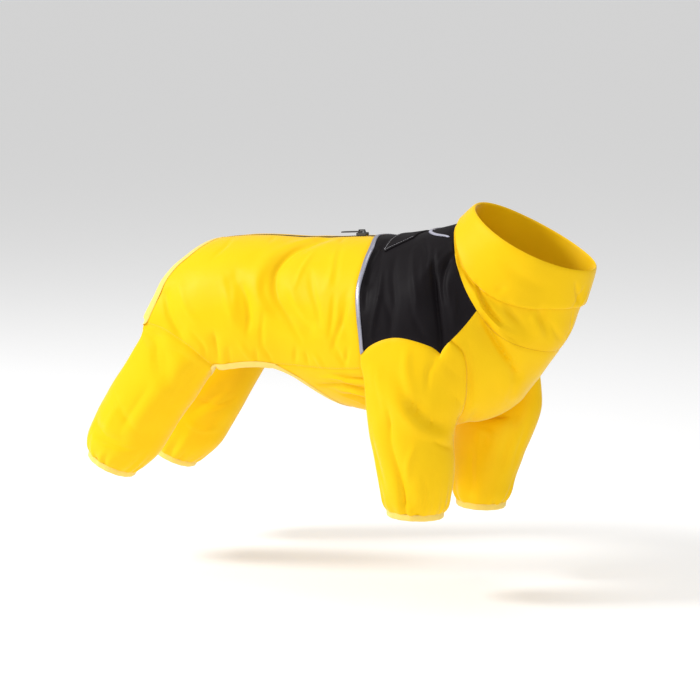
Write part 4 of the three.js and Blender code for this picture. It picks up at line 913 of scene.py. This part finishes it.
def make_limb(name, loop, seam_lift, sewn, starts=None):
    rings = LIMBS[name]
    count = len(loop)
    angles = limb_angles(loop, rings[0])
    even = angles[0] + np.sign(angles[-1] - angles[0]) * 2 * np.pi * np.arange(count) / count
    even = even + np.mean(angles - even)
    shares = np.arange(1, len(rings) + 1) / len(rings)
    on_rings = np.stack([ring_point(r, (1 - s) * angles + s * even) for r, s in zip(rings, shares)], 1)
    start = unit(on_rings[:, 0] - loop)
    if starts is not None:
        start = unit(start + starts)
    knots = np.concatenate([loop[:, None], (loop + start * LIMB_START)[:, None], on_rings], 1)
    grid = spline(knots, LIMB_ROWS / (len(rings) + 1))
    down = run_lengths(grid, 1)
    soft = round_average(grid, 1.1 * FINE)
    left = down[:, -1:] - down
    share = np.clip((down - 2) / 16, 0, 1) * np.clip(left / 40, 0, 1)
    grid = grid + (soft - grid) * ramp(share)[..., None]
    normals = grid_normals(grid, True, grid.mean(0))
    folds = chains(LIMB_FOLDS[name], 3, np.array)
    creases = chains(LIMB_CREASES[name], 3, np.array, CREASE_DEPTH)
    moved = crease_offset(grid, folds) + crease_offset(grid, creases, normals) + undulation(grid, LIMB_UNEVEN)
    u, wave = cuff_wave(name, count)
    reach = (7.5 + 3.5 * np.sin(3 * u + 0.7) + 2 * np.sin(7 * u))[:, None]
    height = (0.75 + 0.35 * np.sin(4 * u + 2))[:, None]
    gather = 0.15 * np.exp(-left / 4) + height * (left / reach) * np.exp(1 - left / reach)
    moved = (moved + wave[:, None] * gather) * ramp(np.clip(down / LIMB_RAMP, 0, 1))
    grid = grid + normals * moved[..., None]
    lift = grid_normals(grid, True, grid.mean(0))
    share = (bell(down, 3) * sewn[:, None])[..., None]
    lift = unit(lift * (1 - share) + seam_lift[:, None] * share)
    sew(name, grid, lift, wrap=True)
    pieces[name]["even"] = even


def round_average(values, spread):
    """Values round a closed loop, each averaged with its neighbours."""
    count = len(values)
    steps = np.abs(np.arange(count)[:, None] - np.arange(count)[None])
    weight = bell(np.minimum(steps, count - steps), spread)
    weight /= weight.sum(1, keepdims=True)
    return np.tensordot(weight, values, axes=1)


def sleeve_starts(normal, loop, springs):
    """How a front sleeve leaves its seam: towards the middle of the armhole and out of the trunk."""
    window = 2 * FINE
    wide = np.concatenate([springs[-window:], springs, springs[:window]])
    spring = np.convolve(wide, np.ones(2 * window + 1) / (2 * window + 1), "valid")
    inward = unit(np.cross(np.roll(loop, -1, 0) - np.roll(loop, 1, 0), normal))
    wrong = np.sum(inward * (loop.mean(0) - loop), 1) < 0
    inward[wrong] *= -1
    turn = (spring * np.pi / 2)[:, None]
    return unit(round_average(inward * np.cos(turn) + normal * np.sin(turn), 2.2 * FINE))


def make_limbs():
    armhole = joined(*[paths[part] for part in SLEEVE_SPRING])[:-1]
    springs = np.concatenate([np.full(STEPS[part] * FINE, value) for part, value in SLEEVE_SPRING.items()])
    leg = paths["legSeam"]
    ends = trunk_point(*leg[[-1, 0]].T)
    fine = spline(np.array([ends[0], *INNER_THIGH[::-1], ends[1]]), np.linspace(0, 1, 400))
    lengths = run_lengths(fine)
    thigh = values_at(np.linspace(0, lengths[-1], STEPS["innerThigh"] * FINE + 1)[1:-1], lengths, fine)
    for side, way in (("right", 1), ("left", -1)):
        seam = armhole * [1, way]
        loop = trunk_point(*seam.T)
        normal = trunk_normal(*seam.T)
        starts = sleeve_starts(normal, loop, springs)
        make_limb(f"front_sleeve_{side}", loop, normal, np.ones(len(loop)), starts)
        seam = leg * [1, way]
        loop = np.concatenate([trunk_point(*seam.T), thigh * [1, way, 1]])
        sewn = np.repeat([1.0, 0.0], [len(seam), len(thigh)])
        normal = np.concatenate([trunk_normal(*seam.T), np.zeros_like(thigh)])
        make_limb(f"hind_sleeve_{side}", loop, normal, sewn)


# How far down from the sleeve's end and how far in each point of a cuff's binding lies.
CUFF_PROFILE = [
    (0.3, 0.1), (0.3, -1.5), (-0.9, -1.55), (-1.05, -1.75), (-0.9, -1.98), (0.4, -2.05), (2.2, -2.0),
    (4.2, -1.8), (5.4, -1.45), (5.95, -0.8), (5.9, -0.1), (5.3, 0.45), (3.6, 0.75), (1.6, 0.85),
    (-0.7, 0.75), (-0.95, 0.45), (-0.8, 0.15),
]


def sew_cuff(limb):
    end = LIMBS[limb][-1]
    dip = math.radians(end[5])
    down = np.array([-math.sin(dip), 0, -math.cos(dip)])
    even = pieces[limb]["even"]
    _, wave = cuff_wave(limb, len(even))
    rings = []
    for depth, shrink in CUFF_PROFILE:
        rings.append(ring_point(end, even, shrink - 0.15 * wave) + down * (depth + 0.05 * wave[:, None]))
    name = limb.replace("sleeve", "cuff")
    stand_for(name, sweep(name + "_binding", np.stack(rings, 1), "binding", True), rings=rings)


# Binding round the rear opening: a tape beyond the edge of each piece in turn.
BINDING_PROFILE = [
    (0.3, -0.1), (-0.9, -0.15), (-1.1, -0.4), (-0.9, -0.65), (0.9, -0.75), (3, -0.72), (4.9, -0.5),
    (5.7, 0.0), (6, 0.7), (5.7, 1.4), (4.9, 1.85), (3, 2.1), (0.9, 2.2), (-1.2, 2.15), (-2.6, 2.0),
    (-2.9, 1.75), (-2.6, 1.5), (-1.2, 1.52), (0.3, 1.5),
]


def smoothed(values, places, reach):
    """Each value averaged with those near it along a line."""
    weight = bell(places[:, None] - places[None], reach)
    return (weight @ values) / weight.sum(1, keepdims=True)


def sew_opening_binding():
    runs = []
    for side in ("right", "left"):
        body, leg = pieces[f"rear_body_{side}"], pieces[f"hind_sleeve_{side}"]
        grid, last = body["grid"], body["grid"].shape[1] - 1
        count, seam = len(leg["grid"]), STEPS["legSeam"] * FINE
        thigh = (seam + np.arange(STEPS["innerThigh"] * FINE + 1)) % count
        edge = seam + np.arange(STEPS["bellyEdge"] * FINE + 1)
        run = [
            np.concatenate([grid[0], leg["grid"][thigh, 0], grid[edge, last]]),
            np.concatenate([grid[FINE], leg["grid"][thigh, 4], grid[edge, last - FINE]]),
            np.concatenate([body["lift"][0], leg["lift"][thigh, 0], body["lift"][edge, last]]),
        ]
        runs.append(run if side == "right" else [part[::-1] for part in run])
    belly = pieces["belly"]
    middle = [belly["grid"][:, 0], belly["grid"][:, FINE], belly["lift"][:, 0]]
    point, inward, lift = (np.concatenate([runs[0][k], middle[k], runs[1][k]]) for k in range(3))
    keep = np.concatenate([[True], np.linalg.norm(np.diff(point, axis=0), axis=1) > 0.2])
    point, inward, lift = point[keep], inward[keep], lift[keep]
    places = run_lengths(point)
    out = smoothed(unit(point - inward), places, 9)
    lift = unit(smoothed(lift, places, 5))
    edge = unit(np.gradient(point, axis=0))
    out -= lift * np.sum(out * lift, 1, keepdims=True)
    out = unit(out - 0.5 * edge * np.sum(out * edge, 1, keepdims=True))
    rings = np.stack([point + out * away + lift * up for away, up in BINDING_PROFILE], 1)
    piece = sweep("opening_binding_tape", rings, "binding", False)
    stand_for("opening_binding", piece, line=point + out * 1.5 + lift * 2.05, lift=lift)


def sew_collar():
    back = paths["neckBack"]
    seam = joined(mirrored(back)[::-1], back, neck_right, mirrored_below(neck_right)[::-1])[1:]
    profile = np.concatenate([
        np.linspace(here, there, max(1, math.ceil(abs(there[0] - here[0]) / COLLAR_STEP)), endpoint=False)
        for here, there in zip(np.array(COLLAR_PROFILE), np.roll(COLLAR_PROFILE, -1, 0))
    ])
    lean = np.interp(np.abs((seam[:, 1] + 180) % 360 - 180), *BAND_EDGE)
    rings, wear = [], []
    for up, out in profile:
        station = seam[:, 0] + (8 - seam[:, 0]) * up if up <= 1 else np.full(len(seam), 7 + up)
        if out > BAND_FROM:
            station = station + lean * np.interp(up, [1.0, 1.8], [1, 0])
        rings.append(trunk_point(station, seam[:, 1]) + trunk_normal(station, seam[:, 1]) * out)
        wear.append(np.full(len(seam), bell(up, 0.1) + 0.5 * bell(up - 1.98, 0.06)))
    stand_for("collar", sweep("collar_cloth", np.stack(rings, 1), "cloth", True, np.stack(wear, 1)))


def turned(grid, edge):
    """A grid as lines that run in from one of its edges."""
    return {
        "south": grid, "north": grid[:, ::-1], "west": grid.swapaxes(0, 1), "east": grid[::-1].swapaxes(0, 1),
    }[edge]


def inset(grid, edge, distances):
    """Points at given distances in from one edge of a grid."""
    lines = turned(grid, edge)
    return np.array([values_at(distances, run, line) for line, run in zip(lines, run_lengths(lines, 1))])


def lay_strip(node, base, lift, material):
    """A reflective strip on a face: base points by rows across it."""
    inner = base + lift * PATCH_LIFT
    outer = base + lift * (PATCH_LIFT + STRIP_HEIGHTS)[None, :, None]
    wear = bell(edge_distance(outer), 0.7)
    piece = shell(node + "_tape", inner, outer, wear, material)
    stand_for(node, piece, base=base, lift=lift)


def sew_rear_strip():
    yoke = pieces["yoke"]
    base = inset(yoke["outer"], "south", STRIP_ROWS * REAR_STRIP_WIDTH)
    lay_strip("rear_strip", base, yoke["lift"][:, :1] + 0 * base, "reflective")


def on_yoke(patch):
    return trunk_point(patch[..., 0], patch[..., 1], CLOTH), trunk_normal(patch[..., 0], patch[..., 1])


def sew_neck_strip():
    half = even_path(NECK_STRIP, 60)
    line = joined(mirrored(half)[::-1], half)
    back = (STRIP_ROWS - 1) * NECK_STRIP_WIDTH / NECK_STATION
    base, lift = on_yoke(line[:, None] + np.stack([back, np.zeros_like(back)], -1)[None])
    lay_strip("neck_strip", base, lift, "reflective_pale")


def sew_leash_flap():
    along = np.linspace(0, 1, 41)
    half = FLAP_REAR[1] + (FLAP_FRONT[1] - FLAP_REAR[1]) * along
    half = half * (1 - 0.12 * np.clip(1 - along / 0.14, 0, 1) ** 2)
    across = np.linspace(1, -1, 97)[:, None]
    station = FLAP_REAR[0] + (FLAP_FRONT[0] - FLAP_REAR[0]) * along[None] + 0 * across
    base, lift = on_yoke(np.stack([station, half[None] * across], -1))
    gap = edge_distance(base)
    wall = CLOTH - 0.7 * bell(gap, 0.9) - 0.25 * bell(gap - FLAP_STITCH_INSET, 0.8)
    inner = base + lift * PATCH_LIFT
    outer = inner + lift * wall[..., None]
    piece = shell("leash_flap_cloth", inner, outer, bell(gap, 1.5), "yoke_cloth")
    stand_for("leash_flap", piece, outer=outer, lift=lift)


def spine_point(station, y, out):
    degrees = np.degrees(np.arcsin(y / section_at(station)[..., 4]))
    return smooth_trunk(station, degrees) + trunk_normal(station, 0.0 * station) * out


def sew_zip():
    station = paths["zip"][:, 0].copy()
    station[[0, -1]] += [SEAM_GAP / 50, -SEAM_GAP / 50]
    inner = np.stack([spine_point(station, y, 0) for y, _ in ZIP_SECTION])
    outer = np.stack([spine_point(station, y, out) for y, out in ZIP_SECTION])
    wear = bell(edge_distance(outer), 0.8)
    piece = shell("zip_tape_cloth", inner, outer, wear, "zip_tape")
    fine = np.linspace(station[0], station[-1], 2000)
    lengths = run_lengths(spine_point(fine, 0.0, 0))
    places = np.interp(np.arange(2, lengths[-1] - 2, COIL_PITCH / 2), lengths, fine)
    side = np.where(np.arange(len(places)) % 2 == 0, -COIL_SIDE, COIL_SIDE)
    centres = spine_point(places, side, COIL_HEIGHT)
    ups = trunk_normal(places, 0.0 * places)
    across = np.tile([0.0, 1.0, 0.0], (len(places), 1))
    coil = rods("zip_coil_teeth", centres, across, ups, TOOTH, TOOTH_RADIUS, "zip_coil", "zip_tape")
    stand_for("back_zip", piece, coil=coil)


def rods(name, centres, directions, ups, length, radius, material, slot, flat=1.0):
    """Many small rounded rods in one mesh: stitches, or the teeth of a coil."""
    directions = unit(directions)
    sides = unit(np.cross(directions, ups))
    ups = np.cross(sides, directions)
    stops = [(-0.5, 0.0), (-0.44, 0.7), (-0.25, 1.0), (0.25, 1.0), (0.44, 0.7), (0.5, 0.0)]
    corners = 6
    turn = 2 * np.pi * np.arange(corners) / corners
    local = [(-0.5 * length, 0, 0)]
    for along, swell in stops[1:-1]:
        for t in turn:
            local.append((along * length, swell * radius * math.cos(t), swell * radius * math.sin(t) * flat))
    local.append((0.5 * length, 0, 0))
    local = np.array(local)
    rows = len(stops) - 2
    faces = []
    for k in range(corners):
        after = (k + 1) % corners
        faces.append((0, 1 + after, 1 + k))
        for row in range(rows - 1):
            low = 1 + row * corners
            faces.append((low + k, low + after, low + corners + after, low + corners + k))
        low = 1 + (rows - 1) * corners
        faces.append((low + k, low + after, len(local) - 1))
    basis = np.stack([directions, sides, ups], 1)
    points = centres[:, None] + np.einsum("pk,nkc->npc", local, basis)
    all_faces = []
    for n in range(len(centres)):
        all_faces += [tuple(i + n * len(local) for i in face) for face in faces]
    return add_mesh(name, points.reshape(-1, 3), all_faces, material)


def stitch_rows(name, rows, material, slot, pitch=3.1, length=2.3):
    """Stitches along lines on the cloth. Each row is its points and the directions away from the cloth."""
    centres, directions, ups = [], [], []
    for points, lift in rows:
        lengths = run_lengths(points)
        middles = np.arange(pitch, lengths[-1] - pitch, pitch)
        place = [values_at(middles + d, lengths, points) for d in (-0.4, 0, 0.4)]
        up = unit(values_at(middles, lengths, lift))
        centres.append(place[1] + up * THREAD_LIFT)
        directions.append(place[2] - place[0])
        ups.append(up)
    parts = (np.concatenate(part) for part in (centres, directions, ups))
    return rods(name, *parts, length, THREAD, material, slot, 0.7)


def edge_row(name, edge, distance):
    """A row for stitches on a cut piece, at a distance in from one edge."""
    piece = pieces[name]
    return inset(piece["outer"], edge, np.array([distance]))[:, 0], turned(piece["lift"], edge)[:, 0]


def strip_rows(node):
    """Two rows for stitches on a reflective strip, one near each edge."""
    base, lift = pieces[node]["base"], pieces[node]["lift"]
    return [(base[:, k] + lift[:, k] * (PATCH_LIFT + STRIP), lift[:, k]) for k in (2, 4)]


cut_rear_body("right", lambda path: path)
cut_rear_body("left", mirrored)
cut_yoke()
cut_chest()
cut_belly()
make_limbs()
for limb_name in LIMBS:
    sew_cuff(limb_name)
sew_collar()
sew_opening_binding()
sew_rear_strip()
sew_neck_strip()
sew_leash_flap()
sew_zip()

# Topstitching
bodies = ("rear_body_right", "rear_body_left")
seam_rows = [edge_row(body, edge, SEAM_STITCH_INSET) for body in bodies for edge in ("south", "north")]
seam_stitches = stitch_rows("seam_stitches", seam_rows, "yellow_thread", "cloth")
both_strips = strip_rows("rear_strip") + strip_rows("neck_strip")
strip_stitches = stitch_rows("strip_stitches", both_strips, "grey_thread", "reflective", 2.6, 1.9)
flap_rows = [edge_row("leash_flap", edge, FLAP_STITCH_INSET) for edge in ("south", "west", "east")]
flap_stitches = stitch_rows("flap_stitches", flap_rows, "grey_thread", "yoke_cloth", 2.6, 2.0)
tape = pieces["opening_binding"]
binding_rows = [(tape["line"], tape["lift"])]
for limb_name in LIMBS:
    rings = pieces[limb_name.replace("sleeve", "cuff")]["rings"]
    ring = np.concatenate([rings[5], rings[5][:3]])
    binding_rows.append((ring, unit(ring - ring.mean(0))))
binding_stitches = stitch_rows("binding_stitches", binding_rows, "pale_thread", "binding", 2.8, 2.0)

# The slider and the pull tab stay as in the solids, with softened edges.
for node_name in ("zip_slider", "zip_pull"):
    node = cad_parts[node_name]
    node.data.materials.clear()
    node.data.materials.append(materials["zip_metal"])
    bevel = node.modifiers.new("soft edges", "BEVEL")
    bevel.width = 0.0003
    bevel.segments = 2
    bevel.limit_method = "ANGLE"

# Floor, lights and camera
WHITE = (1, 1, 1, 1)
reach = FLOOR_REACH / 1000
corners = [(x * reach, y * reach, FLOOR_Z / 1000) for x, y in ((-1, -1), (1, -1), (1, 1), (-1, 1))]
floor_mesh = bpy.data.meshes.new("floor")
floor_mesh.from_pydata(corners, [], [(0, 1, 2, 3)])
floor = Nodes("floor")
set_values(floor.shader, Base_Color=(0.86, 0.86, 0.86, 1), Roughness=0.9)
set_values(floor.shader, Emission_Color=WHITE, Emission_Strength=0.3)
floor_mesh.materials.append(floor.material)
add_object("floor", floor_mesh)

scene = bpy.context.scene
scene.world = bpy.data.worlds.new("studio")
scene.world.use_nodes = True
set_values(scene.world.node_tree.nodes["Background"], Color=WHITE, Strength=0.40)
scene.view_settings.view_transform = "Standard"
scene.view_settings.look = "None"


# The middle of the coat, in metres.
MIDDLE = Vector((-0.0994, 0, -0.134))


def aim(thing, place):
    """Puts a lamp or camera at a place and turns it to the middle of the coat."""
    thing.location = place
    thing.rotation_mode = "QUATERNION"
    thing.rotation_quaternion = (MIDDLE - Vector(place)).to_track_quat("-Z", "Y")


# Soft boxes: place, size and power.
for name, place, size, power in (
    ("key", (-1.7, -1.1, 1.2), 0.5, 41),
    ("fill", (1.7, -1.7, 0.6), 1.2, 10),
    ("top", (0.1, 0.3, 1.9), 1.0, 12),
):
    light = bpy.data.lights.new(name, "AREA")
    light.size = size
    light.energy = power
    aim(add_object(name, light), place)

# The camera is turned from the right side towards the front and up, this many metres away.
AZIMUTH = math.radians(27)
ELEVATION = math.radians(9)
DISTANCE = 2.5
level = math.cos(ELEVATION)
back = Vector((math.sin(AZIMUTH) * level, -math.cos(AZIMUTH) * level, math.sin(ELEVATION)))
camera = add_object("camera", bpy.data.cameras.new("camera"))
camera.data.sensor_width = 36
camera.data.lens = 119.05
aim(camera, MIDDLE + back * DISTANCE)
scene.camera = camera
